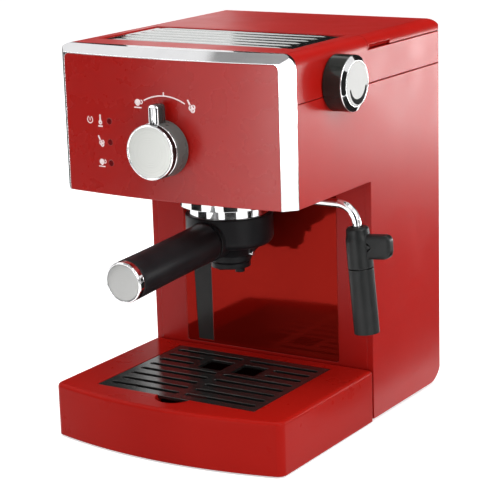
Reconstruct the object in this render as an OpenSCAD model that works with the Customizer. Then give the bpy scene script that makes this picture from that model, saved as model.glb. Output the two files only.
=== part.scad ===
// Home espresso machine: a red C-shaped body with a bowed front panel, a bayonet
// portafilter, a swivelling steam wand, a drip tray and a lift-out water tank.
// Millimetres. X to the machine's left-to-right, Y to the back, Z up. The modules are
// written from the middle of the tray's front edge; at_origin() then moves every piece
// so that the origin lies under the middle of the whole machine, on the worktop.

/* [Body] */
// Width of the housing
body_w = 200; // [190:1:230]
// Depth from the tray's front to the back of the housing
body_d = 262; // [255:1:290]
// Height of the machine on its feet
body_h = 297; // [294:1:320]
// Wall thickness of the moulded shells
wall = 2.5; // [2:0.1:3]
// Height of the rubber feet under the housing
foot_h = 3; // [2.5:0.1:5]
// Distance from the tray's front to the column
column_y = 146; // [144:1:152]
// Height of the head, from its underside to the top
head_h = 108.5; // [103:0.5:111]
// Distance from the tray's front to the corners of the head
head_y = 32; // [28:1:36]
// How far the front panel bows forward
head_bow = 6; // [3:0.5:8]
// Distance of the joint under the top housing from the top
seam_drop = 35; // [33:0.5:37]
// Distance from the tray's front to the tank lid
lid_y = 144; // [142:0.5:146]
// Thickness of the tank lid with its skirt
lid_h = 10; // [9:0.5:12]
// Width of the joints between shells
seam_gap = 0.6; // [0.3:0.1:1]
// Radius of the long top edges
top_r = 9; // [6:0.5:12]
// Radius of the upper back edge
back_top_r = 11; // [8:0.5:11.5]
// Radius of the lower back edge
back_low_r = 20; // [10:1:24]

/* [Front] */
// Width of the bezel's bands at the sides
bezel_w = 8.5; // [6:0.5:13]
// Height of the bezel's band at the top
bezel_h = 6.5; // [5:0.5:7]
// How far the bezel's top band slopes back
bezel_slope = 8; // [4:0.5:10]
// How far the bezel's side bands turn back
bezel_turn = 9; // [4:0.5:10]
// Thickness of the front panel
panel_t = 3; // [2:0.5:4]
// Corner radius of the front panel
panel_r = 4; // [3:0.5:8]
// Height of the selector's axis above the head's underside
selector_rise = 39; // [34:0.5:43]
// Radius of the selector knob
selector_r = 20.4; // [16:0.1:21]
// Depth of the selector knob
selector_d = 19.5; // [14:0.1:21]
// Reach of the pointer above the selector's axis
pointer_reach = 33; // [29:0.5:35]
// Width of the pointer
pointer_w = 8.8; // [6:0.2:10]
// Distance of the lamps left of the middle
lamp_x = 50; // [42:0.5:56]
// Vertical spacing of the lamps
lamp_pitch = 15.4; // [13:0.2:18]
// Radius of a lamp's lens
lamp_r = 2.2; // [1.5:0.1:3]

/* [Top] */
// Width of the cup-warming plate
plate_w = 168; // [140:1:172]
// Front edge of the cup-warming plate
plate_y = 65; // [58:1:72]
// Depth of the recess that holds the plate
plate_recess = 1.5; // [1.2:0.1:1.8]
// Thickness of the plate's sheet
plate_t = 0.9; // [0.6:0.1:1]
// Number of pressed ribs on the plate
plate_ribs = 6; // [4:1:8]

/* [Steam] */
// Distance of the steam knob's axis from the tray's front
steam_y = 96; // [92:1:104]
// Distance of the steam knob's axis from the top
steam_drop = 27; // [25:0.5:28]
// Radius of the steam knob
steam_r = 20.6; // [16:0.1:22]
// Depth of the steam knob
steam_d = 17; // [10:0.1:18]
// Distance of the wand's swivel axis right of the middle
wand_x = 72; // [70:1:76]
// Distance of the wand's level run below the head
wand_drop = 6; // [5.5:0.5:9]
// Outer radius of the steam tube
wand_r = 3.3; // [2.5:0.1:3.5]
// Radius of the tube's large bend
wand_bend_r = 15; // [12:0.5:17]
// Distance from the swivel axis to the start of the large bend
wand_run = 29; // [28:0.5:34]
// Outward lean of the wand in degrees
wand_lean = 5; // [0:0.5:8]
// Outer radius of the frother
frother_r = 9.4; // [8:0.1:11]
// Length of the frother's grip
grip_len = 32; // [26:0.5:36]
// Length of the frother's sleeve
sleeve_len = 48; // [40:0.5:54]
// Reach of the grip's thumb tab from the wand's axis
tab_reach = 27; // [20:0.5:30]
// Height of the thumb tab
tab_h = 18; // [14:0.5:20]

/* [Brewing group] */
// Distance of the group's axis from the tray's front
group_y = 106; // [104:0.5:106.5]
// Outer radius of the group ring
group_r = 37; // [36:0.5:39]
// How far the group ring stands out below the head
ring_drop = 16.5; // [14.5:0.5:18.5]
// Outer radius of the filter holder's rim
rim_r = 30.8; // [29:0.1:31]
// Gap between the group ring and the black portafilter body
cup_drop = 7; // [5:0.5:9]
// Height of the black portafilter body
cup_h = 24; // [20:0.5:25]
// Outer radius of the black portafilter body
cup_r = 33.3; // [32.5:0.1:34]
// Outer radius of the neck under the portafilter body
neck_r = 16; // [12:0.5:17]
// Length of the neck under the portafilter body
neck_h = 14; // [12:0.5:16]
// Radius of the handle
handle_r = 15; // [13:0.5:16.5]
// Distance from the group's axis to the end of the handle's cap
handle_reach = 139; // [125:1:150]
// Distance of the handle's axis below the body's upper edge, at the group's axis
handle_drop = 15; // [13:0.5:17]
// Droop of the handle in degrees
handle_droop = 3.2; // [0:0.2:5]
// Length of the handle's end cap
cap_len = 6; // [4:0.5:10]
// Radial clearance of turning fits
fit_gap = 0.3; // [0.2:0.05:0.35]

/* [Drip tray] */
// Height of the tray's top
tray_top = 42; // [38:0.5:45]
// How far the tray's front bows forward
tray_bow = 13; // [8:0.5:16]
// Radius of the tray's front corners seen from above
tray_corner_r = 7; // [4:0.5:14]
// Groove between the tray and the column
tray_back_gap = 2.5; // [0.5:0.5:4]
// Radius of the tray's top edge
tray_edge_r = 3; // [2:0.5:4]
// Clearance of the sliding tray
tray_gap = 0.5; // [0.4:0.1:0.8]
// Width of the drip grid
grid_w = 139.2; // [130:0.2:146]
// Front edge of the drip grid
grid_y = 23; // [21:0.5:26]
// Depth of the drip grid
grid_d = 111; // [104:0.5:113]
// Thickness of the drip grid
grid_t = 2.2; // [1.5:0.1:3]
// Number of slot rows in the grid
grid_rows = 8; // [6:1:8]
// Radius of the finger recess in front of the grid
recess_r = 14; // [10:0.5:14]

/* [Water tank] */
// Width of the tank
tank_w = 80; // [70:1:84]
// Distance from the housing's inner side to the tank
tank_side = 5.5; // [3:0.5:8]
// Gap in front of and behind the tank
tank_gap = 5; // [4:0.5:7]
// Height of the tank's floor
tank_z = 50; // [47:1:55]
// Wall thickness of the tank
tank_t = 2; // [1.5:0.1:3]
// Distance of the window's left edge from the middle
window_x = 62.6; // [60:0.2:66]
// Width of the level window at the top
window_w = 17.5; // [14:0.5:20]
// Height of the niche panel's lower edge
niche_z = 44; // [43:0.5:50]
// Half width of the niche panel
niche_x = 70; // [68:0.5:80]

/* [Hidden] */
$fn = 96;

eps = 0.01;
far = 600;                                   // larger than the whole machine
half_w = body_w / 2;
knob_gap = 0.6;                              // between a knob and the wall behind it

// Where the whole machine's box lies, for at_origin()
tab_drop = 7.5;                              // from the end of the bend to the thumb tab
tab_tip_x = wand_x + wand_run + wand_bend_r * cos(wand_lean)
    + (tab_drop + tab_h - 5) * sin(wand_lean) + tab_reach * cos(wand_lean);
cap_front_y = group_y - handle_reach * cos(handle_droop) - handle_r * sin(handle_droop);
origin_x = (tab_tip_x - half_w) / 2;
origin_y = (cap_front_y + body_d) / 2;

// Shells
inner_x = half_w - wall;
inner_back_y = body_d - wall;
head_z = body_h - head_h;                    // the head's underside
seam_z = body_h - seam_drop;
lid_z = body_h - lid_h;
plate_back_y = lid_y - wall - 0.7;
head_bow_r = pow(half_w - bezel_w, 2) / (2 * head_bow) + head_bow / 2;
panel_y = head_y - head_bow;                 // front panel's foremost line
panel_axis_y = panel_y + head_bow_r;
bezel_side_t = 1;                            // of the bezel behind its turned bands
bezel_lip = 0.5;                             // flat edge of the bezel round the panel
bezel_back_y = head_y + bezel_turn + bezel_side_t;
turned_x = half_w - bezel_w + bezel_lip;     // where the side bands turn back
shell_y = bezel_back_y + seam_gap / 2;       // front edge of the moulded shells
panel_top_z = body_h - bezel_h;
back_edge_r = 4;
hinge_r = 2.2;
hinge_pin_r = 1.2;
hinge_z = lid_z + seam_gap / 2 + hinge_r;
hinge_y = body_d - back_top_r + sqrt(pow(back_top_r, 2)
    - pow(hinge_z - (body_h - back_top_r), 2)) - hinge_r;

// Water tank
tank_corner_r = 3.5;                         // outer radius of the tank's upright corners
tank_x0 = -inner_x + tank_side;
tank_x1 = tank_x0 + tank_w;
tank_y0 = column_y + wall + tank_gap - 0.5;
tank_y1 = inner_back_y - tank_gap - 1.5;
tank_top = lid_z - 4;
tank_mid_x = (tank_x0 + tank_x1) / 2;
tank_mid_y = (tank_y0 + tank_y1) / 2;
notch_r = 3.6;                               // finger notch in the lid's edge
notch_len = 32;
ear_w = 6;
ear_xs = [tank_x0 + 12, tank_x1 - 12 - ear_w];
valve_r = 9;

// Selector and lamps
selector_z = head_z + selector_rise;
selector_back_y = panel_y - knob_gap;
selector_face_y = selector_back_y - selector_d;
shaft_r = 3;
selector_rim = 1.5;                          // width of the rim round the selector's face
steam_rim = 5;                               // width of the rim round the steam knob's face
selector_lip_d = 6;                          // depth of the bright ring in front of the drum
face_gap = 0.1;                              // round the face discs
face_t = 0.6;                                // of the face discs
switch_half = 16;
switch_d = 22;
switch_y0 = panel_y + panel_t + 6;
switch_y1 = switch_y0 + switch_d;
lamp_sag = lamp_x * lamp_x / (2 * head_bow_r);
lamp_front_y = panel_y + lamp_sag + 0.4;
lamp_board_y = panel_y + lamp_sag + panel_t + 5;

// Group and portafilter
group_z = head_z - ring_drop;
cup_top_z = group_z - cup_drop;
handle_z = cup_top_z - handle_drop;
ring_floor_z = head_z + wall;                // inner face of the head's floor
ring_top_z = ring_floor_z + 13;
gasket_h = 4;
gasket_z = ring_top_z - wall - gasket_h;
groove_r = rim_r + 3.8;
ear_r = groove_r - fit_gap - 0.3;
rim_top_z = gasket_z - 0.9;
groove_z = ring_floor_z - 1;
groove_h = 5;
ear_h = 4;
ear_half_deg = 13;
unlock_deg = 50;
cup_z = cup_top_z - cup_h;
neck_z = cup_z - neck_h;
rim_seat_z = cup_top_z - 7;
boiler_z = ring_top_z;
boiler_h = 32;
boiler_r = 36;
cover_h = 8;
cover_top_z = boiler_z + boiler_h + cover_h;

// Steam side
steam_z = body_h - steam_drop;
wand_z = head_z - wand_drop;
valve_half = 10;
valve_neck = 4;                              // of the outlet under the valve
valve_x0 = 58;
valve_x1 = 90;
feed_x = 18;
stem_x0 = 78;
steam_face_x = half_w + knob_gap + steam_d;
stub_bend_r = 8;
bend_x = wand_x + wand_run;
wand_end_x = bend_x + wand_bend_r * cos(wand_lean);
wand_end_z = wand_z - wand_bend_r + wand_bend_r * sin(wand_lean);
socket_r = 8;
socket_z = ring_floor_z + 1;
socket_h = 14;
bend_lap = 0.4;                              // of the straight lengths into the bends

// Drip tray
tray_skirt_z = 1.5;
tray_y = -3;                                 // the foremost line of the bowed front
corner_lap = 0.05;                           // of the corners' arcs over the front and the sides
tray_back_y = column_y - tray_back_gap;
tray_bow_r = pow(half_w - tray_corner_r / 2, 2) / (2 * tray_bow) + tray_bow / 2;
basin_x = grid_w / 2 - 3;
basin_y0 = grid_y + 4;
basin_y1 = grid_y + grid_d - 4;
grid_z = tray_top - 0.3;
recess_z = tray_top - 9;                     // floor of the finger recess
slot_pitch = grid_d / (grid_rows + 0.7);
slot_w = 5;

// Base and drive
base_t = 3;
base_top_z = foot_h + base_t;
base_x = half_w - wall - 3;
side_x = base_x + 0.3;                       // joints of the sides with the shells between them
post_top_z = 30;
base_back_y = body_d - back_low_r - 2;
post_y = base_back_y - 18;                   // screw posts for the base plate
basin_z = base_top_z + tray_gap + wall;
suction_z = 18;                              // of the hose under the tank
pump_x = 45;
pump_y = tank_mid_y;
pump_r = 12;
mount_r = 5;
mount_ys = [pump_y - 17.6, pump_y + 17.6];
pump_z0 = 26;
pump_z1 = 130;
coil_w = 46;
coil_z0 = 50;
coil_z1 = 100;
hose_r = 3.5;
gland_x = 62;
gland_z = 32;
hose_z = body_h - 43;                        // run of the pressure hose over the pump
hose_x = 14;
board_l = 80;
board_h = 90;
board_t = 1.6;
board_x = inner_x - 7.4;
board_y = (column_y + wall + inner_back_y) / 2;
board_z = seam_z - 67;
rocker_z = 66;
rocker_w = 12;
rocker_h = 19;
rocker_pivot_y = body_d - 4.5;
foot_xs = [-78, 78];
foot_ys = [34, base_back_y - 4];

// ---- helpers -------------------------------------------------------------
module at_origin() translate([-origin_x, -origin_y, 0]) children();
module along_x(x0, x1) translate([x0, 0, 0]) rotate([90, 0, 90]) linear_extrude(x1 - x0) children();
module along_y(y0, y1) translate([0, y1, 0]) rotate([90, 0, 0]) linear_extrude(y1 - y0) children();
module along_z(z0, z1) translate([0, 0, z0]) linear_extrude(z1 - z0) children();
module block(x0, x1, y0, y1, z0, z1) translate([x0, y0, z0]) cube([x1 - x0, y1 - y0, z1 - z0]);
module rod_z(x, y, z0, z1, r) translate([x, y, z0]) cylinder(h = z1 - z0, r = r);
module rod_y(x, z, y0, y1, r) translate([x, y0, z]) rotate([-90, 0, 0]) cylinder(h = y1 - y0, r = r);
module rod_x(y, z, x0, x1, r) translate([x0, y, z]) rotate([0, 90, 0]) cylinder(h = x1 - x0, r = r);
module both_sides() {
    children();
    mirror([1, 0, 0]) children();
}

// A rectangle with its own radius at each corner: lower left, lower right, upper right, upper left
module round_rect(x0, y0, x1, y1, radii) {
    corners = [[x0, y0, 1, 1], [x1, y0, -1, 1], [x1, y1, -1, -1], [x0, y1, 1, -1]];
    difference() {
        translate([x0, y0]) square([x1 - x0, y1 - y0]);
        for (i = [0:3]) if (radii[i] > 0)
            translate([corners[i][0], corners[i][1]])
                mirror([corners[i][2] < 0 ? 1 : 0, 0]) mirror([0, corners[i][3] < 0 ? 1 : 0])
                    difference() {
                        translate([-1, -1]) square(radii[i] + 1);
                        translate([radii[i], radii[i]]) circle(radii[i]);
                    }
    }
}

// The machine's outline from the side (Y, Z), drawn in by a wall
module side_outline(inset, z0) difference() {
    round_rect(head_y - 20, z0, body_d - inset, body_h - inset,
        [0, back_low_r - inset, back_top_r - inset, 0]);
    translate([-far, -far]) square([far + column_y + inset, far + head_z + inset]);
}

// The outer form of the housing, drawn in by a wall
module envelope(inset, z0 = foot_h) intersection() {
    along_x(-far, far) side_outline(inset, z0);
    along_y(-far, far) round_rect(-half_w + inset, -1, half_w - inset, body_h - inset,
        [0, 0, top_r - inset, top_r - inset]);
    along_z(-1, far) round_rect(-half_w + inset, -far, half_w - inset, body_d - inset,
        [0, 0, back_edge_r - inset / 2, back_edge_r - inset / 2]);
}

// A length of round hose or pipe through a list of points
module run(points, r) {
    for (i = [0:len(points) - 2]) {
        span = points[i + 1] - points[i];
        translate(points[i])
            rotate([0, acos(span[2] / norm(span)), atan2(span[1], span[0])])
                cylinder(h = norm(span), r = r);
    }
    for (i = [1:1:len(points) - 2]) translate(points[i]) sphere(r);
}

module along_handle(t) translate([0, group_y, handle_z]) rotate([90 + handle_droop, 0, 0])
    translate([0, 0, t]) children();
module along_wand(s) translate([wand_end_x, steam_y - 1, wand_end_z])
    rotate([0, 180 - wand_lean, 0]) translate([0, 0, s]) children();

// ---- housing -------------------------------------------------------------
// The lower form: two sides, the column's front with the head's floor, and the back
module lower_form(x0, x1, y0, y1) intersection() {
    block(x0, x1, y0, y1, 0, seam_z - seam_gap / 2);
    difference() {
        envelope(0);
        envelope(wall, foot_h + wall);
    }
}
module left_side() at_origin() color([0.62, 0.09, 0.1]) side_panel(-1);
module right_side() at_origin() color([0.62, 0.09, 0.1]) side_panel(1);
module side_panel(side) mirror([side < 0 ? 1 : 0, 0, 0]) difference() {
    union() {
        lower_form(side_x, far, shell_y, far);
        // Screw post for the base plate, on a web
        rod_z(foot_xs[1], post_y, base_top_z, post_top_z, 5);
        block(foot_xs[1], inner_x + 1, post_y - 1, post_y + 1, base_top_z, post_top_z);
    }
    rod_z(foot_xs[1], post_y, 0, post_top_z - 3, 1.6);
}
module column_shell() at_origin() color([0.6, 0.09, 0.1]) difference() {
    lower_form(-side_x, side_x, shell_y, column_y + wall);
    block(-far, far, 0, far, 0, foot_h + wall + 1);
    group_hole();
    rod_z(wand_x, steam_y - 1, head_z - 1, ring_floor_z + 1, wand_r + 2.2);
    niche_recess();
    window_slot(column_y - 1, column_y + wall + 1);
}
module back_shell() at_origin() color([0.6, 0.09, 0.1]) difference() {
    lower_form(-side_x, side_x, base_back_y + 0.3, far);
    rod_y(gland_x, gland_z, inner_back_y - 1, far, 7);
    block(gland_x - rocker_w / 2 - 2, gland_x + rocker_w / 2 + 2, inner_back_y - 1, far,
        rocker_z - rocker_h / 2 - 2, rocker_z + rocker_h / 2 + 2);
}
module group_hole() rod_z(0, group_y, head_z - 1, ring_floor_z + 1, group_r + 0.2);
module niche_outline(gap) round_rect(-niche_x - gap, niche_z - gap, niche_x + gap,
    head_z + gap, [2, 2, 0, 0]);
module niche_recess() along_y(column_y - 1, column_y + 1.2) niche_outline(0.15);
// The window tapers on its outer side towards the bottom
module window_outline(gap) polygon([
    [-window_x - gap, head_z + gap], [-window_x + window_w + gap, head_z + gap],
    [-window_x + window_w + gap, niche_z + 2 - gap], [-window_x + 3.5 - gap, niche_z + 2 - gap],
    [-window_x - gap, niche_z + 90]]);
module window_slot(y0, y1) along_y(y0, y1) window_outline(0.15);

module top_housing() at_origin() color([0.64, 0.1, 0.11]) difference() {
    intersection() {
        envelope(0);
        block(-far, far, shell_y, far, seam_z + seam_gap / 2, far);
    }
    difference() {
        envelope(wall);
        bay_walls();
    }
    block(-far, far, lid_y, far, lid_z - seam_gap / 2, far);
    plate_seat(0.2);
    rod_x(steam_y, steam_z, inner_x - 1, far, shaft_r + 0.6);
}
// Wall in front of the tank bay and the deck beside the tank
module bay_walls() {
    block(-inner_x - 1, inner_x + 1, lid_y - wall, lid_y, seam_z, body_h);
    block(tank_x1 + 3, inner_x + 1, lid_y - 1, inner_back_y + 1, lid_z - 3, lid_z - seam_gap / 2);
}
module plate_seat(gap) block(-plate_w / 2 - gap, plate_w / 2 + gap, plate_y - gap,
    plate_back_y + gap, body_h - plate_recess, body_h + 1);

// Full turned band with the bow's radius, from the front line inwards
module bow_band(z0, z1, depth) translate([0, panel_axis_y, 0]) difference() {
    translate([0, 0, z0]) cylinder(h = z1 - z0, r = head_bow_r, $fn = 720);
    translate([0, 0, z0 - 1]) cylinder(h = z1 - z0 + 2, r = head_bow_r - depth, $fn = 720);
}
module panel_opening(gap) round_rect(-half_w + bezel_w + gap, head_z - 2 + gap,
    half_w - bezel_w - gap, panel_top_z - gap, [0, 0, panel_r, panel_r]);

module front_panel() at_origin() color([0.65, 0.1, 0.11]) difference() {
    intersection() {
        union() {
            bow_band(head_z, panel_top_z, panel_t);
            bow_band(head_z, head_z + wall, bezel_back_y - panel_y);
        }
        along_y(panel_y - 1, bezel_back_y) panel_opening(0.2);
    }
    rod_y(0, selector_z, panel_y - 1, panel_y + panel_t + 1, shaft_r + 0.6);
    lamp_places(lamp_r + 0.1, panel_y - 1, panel_y + panel_t + 6);
}
module lamp_places(r, y0, y1) for (i = [-1:1])
    rod_y(-lamp_x, selector_z + i * lamp_pitch, y0, y1, r);

module front_bezel() at_origin() color([0.85, 0.85, 0.86]) difference() {
    intersection() {
        translate([0, panel_axis_y, 0]) rotate_extrude($fn = 720) polygon([
            [head_bow_r - 40, head_z], [head_bow_r, head_z], [head_bow_r, panel_top_z + bezel_lip],
            [head_bow_r - bezel_slope, body_h], [head_bow_r - 40, body_h]]);
        along_z(0, far) polygon([
            [-half_w, bezel_back_y], [-half_w, head_y + bezel_turn],
            [-turned_x, head_y], [-turned_x, panel_y - 5],
            [turned_x, panel_y - 5], [turned_x, head_y],
            [half_w, head_y + bezel_turn], [half_w, bezel_back_y]]);
        along_y(0, far) round_rect(-half_w, head_z, half_w, body_h, [0, 0, top_r, top_r]);
    }
    along_y(0, far) panel_opening(0);
}

module cup_plate() at_origin() color([0.78, 0.78, 0.78]) {
    z0 = body_h - plate_recess;
    depth = plate_back_y - plate_y;
    pitch = depth / plate_ribs;
    rib_h = plate_recess - plate_t;
    block(-plate_w / 2, plate_w / 2, plate_y, plate_back_y, z0, z0 + plate_t);
    for (i = [0:plate_ribs - 1]) {
        y = plate_y + (i + 0.5) * pitch;
        block(-plate_w / 2 + 8, plate_w / 2 - 8, y - pitch / 4, y + pitch / 4,
            z0 + plate_t - 0.1, z0 + plate_t + rib_h);
    }
}

module niche_panel() at_origin() color([0.58, 0.08, 0.09]) difference() {
    along_y(column_y, column_y + 1.2) niche_outline(0);
    window_slot(column_y - 1, column_y + wall + 1);
}
module level_window() at_origin() color([0.35, 0.37, 0.4]) {
    along_y(column_y + 0.1, column_y + wall) window_outline(0);
    along_y(column_y + wall, column_y + wall + 1.2) window_outline(2);
}

module base_plate() at_origin() color([0.12, 0.12, 0.13]) difference() {
    union() {
        along_z(foot_h, base_top_z) round_rect(-base_x, tray_bow + 8, base_x,
            base_back_y, [14, 14, 0, 0]);
        for (y = mount_ys) rod_z(pump_x, y, base_top_z - 1, base_top_z + 3, mount_r + 1);
    }
    for (x = foot_xs) {
        for (y = foot_ys) rod_z(x, y, 0, far, 4.1);
        rod_z(x, post_y, 0, far, 1.9);
    }
}
module rubber_feet() at_origin() color([0.08, 0.08, 0.08]) for (x = foot_xs) for (y = foot_ys) {
    rod_z(x, y, 0, foot_h, 9);
    rod_z(x, y, foot_h - 0.5, base_top_z, 4);
}
module base_screws() at_origin() color([0.7, 0.7, 0.72]) for (x = foot_xs) {
    rod_z(x, post_y, foot_h - 1.4, foot_h, 3.2);
    rod_z(x, post_y, foot_h - 0.5, post_top_z - 6, 1.5);
}

// ---- tank and lid --------------------------------------------------------
module tank_lid() at_origin() color([0.66, 0.11, 0.12]) {
    y0 = lid_y + seam_gap;
    z0 = lid_z + seam_gap / 2;
    difference() {
        intersection() {
            envelope(0);
            block(-far, far, y0, far, z0, far);
        }
        difference() {
            intersection() {
                envelope(wall);
                block(-far, far, y0 + wall, hinge_y - 3.4, 0, far);
            }
            lid_knuckles();
        }
        lid_hinge_cuts();
        both_sides() finger_notch();
    }
}
module lid_knuckles() for (x = ear_xs) for (side = [-5, ear_w + 0.8])
    block(x + side, x + side + 4.2, hinge_y - 8, hinge_y, lid_z, body_h);
module lid_hinge_cuts() {
    // The edge behind the hinge line is turned round it
    along_x(-far, far) difference() {
        translate([hinge_y, hinge_z - 10]) square([10, 10]);
        translate([hinge_y, hinge_z]) circle(hinge_r);
    }
    for (x = ear_xs) {
        block(x - 0.4, x + ear_w + 0.4, hinge_y - 12, far, 0, hinge_z + hinge_r + 0.5);
        rod_x(hinge_y, hinge_z, x - 5, x + ear_w + 5, hinge_pin_r);
    }
}
module finger_notch() rod_y(half_w + notch_r * 0.35, lid_z, lid_y + 2, lid_y + 2 + notch_len, notch_r);

module hinge_pins() at_origin() color([0.8, 0.8, 0.8]) for (x = ear_xs)
    rod_x(hinge_y, hinge_z, x - 4.8, x + ear_w + 4.8, hinge_pin_r);

module water_tank() at_origin() color([0.55, 0.6, 0.65, 0.6]) {
    difference() {
        tank_form(0, tank_z, tank_top);
        tank_form(tank_t, tank_z + tank_t, far);
        rod_z(tank_mid_x, tank_mid_y, 0, tank_z + tank_t + 1, valve_r - 2);
    }
    for (x = ear_xs) tank_ear(x);
    // Carrying bar across the mouth
    block(tank_x0 + 1, tank_x1 - 1, tank_mid_y - 5, tank_mid_y + 5, tank_top - 3, tank_top);
}
module tank_form(inset, z0, z1) along_z(z0, z1) round_rect(tank_x0 + inset, tank_y0 + inset,
    tank_x1 - inset, tank_y1 - inset, (tank_corner_r - inset) * [1, 1, 1, 1]);
module tank_ear(x) difference() {
    along_x(x, x + ear_w) {
        translate([tank_y1 - 1, tank_top - 14]) square([2.5, 14]);
        translate([tank_y1 - 1, tank_top - 1])
            square([inner_back_y - 0.8 - tank_y1 + 1, hinge_z + hinge_r - tank_top + 1]);
        translate([hinge_y - 4, hinge_z - hinge_r + 0.1]) square([4, 2 * hinge_r - 0.1]);
        translate([hinge_y, hinge_z]) circle(hinge_r - 0.1);
    }
    rod_x(hinge_y, hinge_z, x - 1, x + ear_w + 1, hinge_pin_r + 0.06);
}
module tank_valve() at_origin() color([0.15, 0.15, 0.16]) {
    rod_z(tank_mid_x, tank_mid_y, tank_z + tank_t, tank_z + tank_t + 3, valve_r);
    rod_z(tank_mid_x, tank_mid_y, tank_z - 4, tank_z + tank_t, valve_r - 2.1);
}
module tank_dock() at_origin() color([0.2, 0.2, 0.2]) difference() {
    union() {
        rod_z(tank_mid_x, tank_mid_y, base_top_z, tank_z - 0.4, valve_r + 2);
        block(tank_x0 + 8, tank_x1 - 8, tank_y0 + 10, tank_y1 - 10, tank_z - 8, tank_z - 0.4);
        for (x = [tank_x0 + 8, tank_x1 - 12]) for (y = [tank_y0 + 10, tank_y1 - 14])
            block(x, x + 4, y, y + 4, base_top_z, tank_z - 7);
    }
    rod_z(tank_mid_x, tank_mid_y, tank_z - 5, tank_z, valve_r - 1.6);
    rod_z(tank_mid_x, tank_mid_y, suction_z, tank_z, hose_r);
    rod_x(tank_mid_y, suction_z, tank_mid_x, tank_mid_x + 20, hose_r);
}

// ---- front controls ------------------------------------------------------
module selector_knob() at_origin() color([0.85, 0.85, 0.86]) difference() {
    lip_y = selector_d - selector_lip_d;
    union() {
        translate([0, selector_back_y, selector_z]) rotate([90, 0, 0]) rotate_extrude() polygon([
            [0, 0], [selector_r, 0], [selector_r - 0.3, lip_y - 1.2], [selector_r - 1, lip_y - 0.6],
            [selector_r - 1, lip_y - 0.2], [selector_r - 0.4, lip_y + 0.2],
            [selector_r - 0.4, selector_d - 0.8], [selector_r - 1.2, selector_d], [0, selector_d]]);
        along_y(selector_back_y - lip_y - 1, selector_back_y - selector_d * 0.2)
            pointer_outline();
    }
    rod_y(0, selector_z, selector_face_y - 1, selector_face_y + face_t, selector_r - selector_rim);
    rod_y(0, selector_z, selector_face_y + 4, selector_back_y + 1, shaft_r);
}
module pointer_outline() round_rect(-pointer_w / 2, selector_z, pointer_w / 2,
    selector_z + pointer_reach, [0, 0, pointer_w * 0.4, pointer_w * 0.4]);
module selector_disc() at_origin() color([0.8, 0.8, 0.8])
    rod_y(0, selector_z, selector_face_y, selector_face_y + face_t,
        selector_r - selector_rim - face_gap);
module selector_shaft() at_origin() color([0.7, 0.7, 0.7])
    rod_y(0, selector_z, selector_face_y + 4, switch_y1 - 6, shaft_r);
module selector_switch() at_origin() color([0.9, 0.88, 0.8]) difference() {
    union() {
        block(-switch_half, switch_half, switch_y0, switch_y1,
            selector_z - switch_half, selector_z + switch_half);
        // Threaded neck that clamps the switch to the panel
        rod_y(0, selector_z, panel_y + panel_t + 0.3, switch_y0 + 1, 7);
    }
    rod_y(0, selector_z, 0, switch_y1 - 5, shaft_r + fit_gap);
}
module lamp_lenses() at_origin() color([0.35, 0.03, 0.03])
    lamp_places(lamp_r, lamp_front_y, lamp_board_y);
module lamp_board() at_origin() color([0.1, 0.35, 0.15]) {
    block(-lamp_x - 9, -lamp_x + 9, lamp_board_y, lamp_board_y + 1.6,
        selector_z - lamp_pitch - 12, selector_z + lamp_pitch + 12);
    for (z = [selector_z - lamp_pitch - 9, selector_z + lamp_pitch + 9])
        rod_y(-lamp_x, z, panel_y + lamp_sag + panel_t + 0.1, lamp_board_y, 2.5);
}

// ---- steam side ----------------------------------------------------------
module steam_knob() at_origin() color([0.85, 0.85, 0.86]) difference() {
    translate([half_w + knob_gap, steam_y, steam_z]) rotate([0, 90, 0]) rotate_extrude() polygon([
        [0, 0], [steam_r, 0], [steam_r - 0.4, steam_d - 1.6], [steam_r - 1.8, steam_d], [0, steam_d]]);
    rod_x(steam_y, steam_z, steam_face_x - face_t, far, steam_r - steam_rim);
    rod_x(steam_y, steam_z, 0, steam_face_x - 4, shaft_r);
}
module steam_knob_disc() at_origin() color([0.8, 0.8, 0.8])
    rod_x(steam_y, steam_z, steam_face_x - face_t, steam_face_x, steam_r - steam_rim - face_gap);
module steam_stem() at_origin() color([0.75, 0.65, 0.4])
    rod_x(steam_y, steam_z, stem_x0, steam_face_x - 4, shaft_r);
module steam_valve() at_origin() color([0.75, 0.6, 0.3]) difference() {
    union() {
        block(valve_x0, valve_x1, steam_y - valve_half, steam_y + valve_half,
            steam_z - valve_half, steam_z + valve_half);
        rod_x(steam_y, steam_z, valve_x1 - 1, inner_x, 6);
        rod_z(wand_x, steam_y - 1, steam_z - valve_half - valve_neck, steam_z - valve_half + 1, 4.5);
    }
    rod_x(steam_y, steam_z, stem_x0 - 3, far, shaft_r + fit_gap);
}
// One pipe leads from the boiler to the valve, the other from the valve to the wand
module steam_pipes() at_origin() color([0.8, 0.7, 0.5]) {
    feed_y = group_y - 14;
    feed_z = steam_z - 4;
    run([[feed_x, feed_y, cover_top_z], [feed_x, feed_y, feed_z], [valve_x0, feed_y, feed_z]], 2);
    run([[wand_x, steam_y - 1, socket_z + socket_h],
        [wand_x, steam_y - 1, steam_z - valve_half - valve_neck]], 2.5);
}
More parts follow.
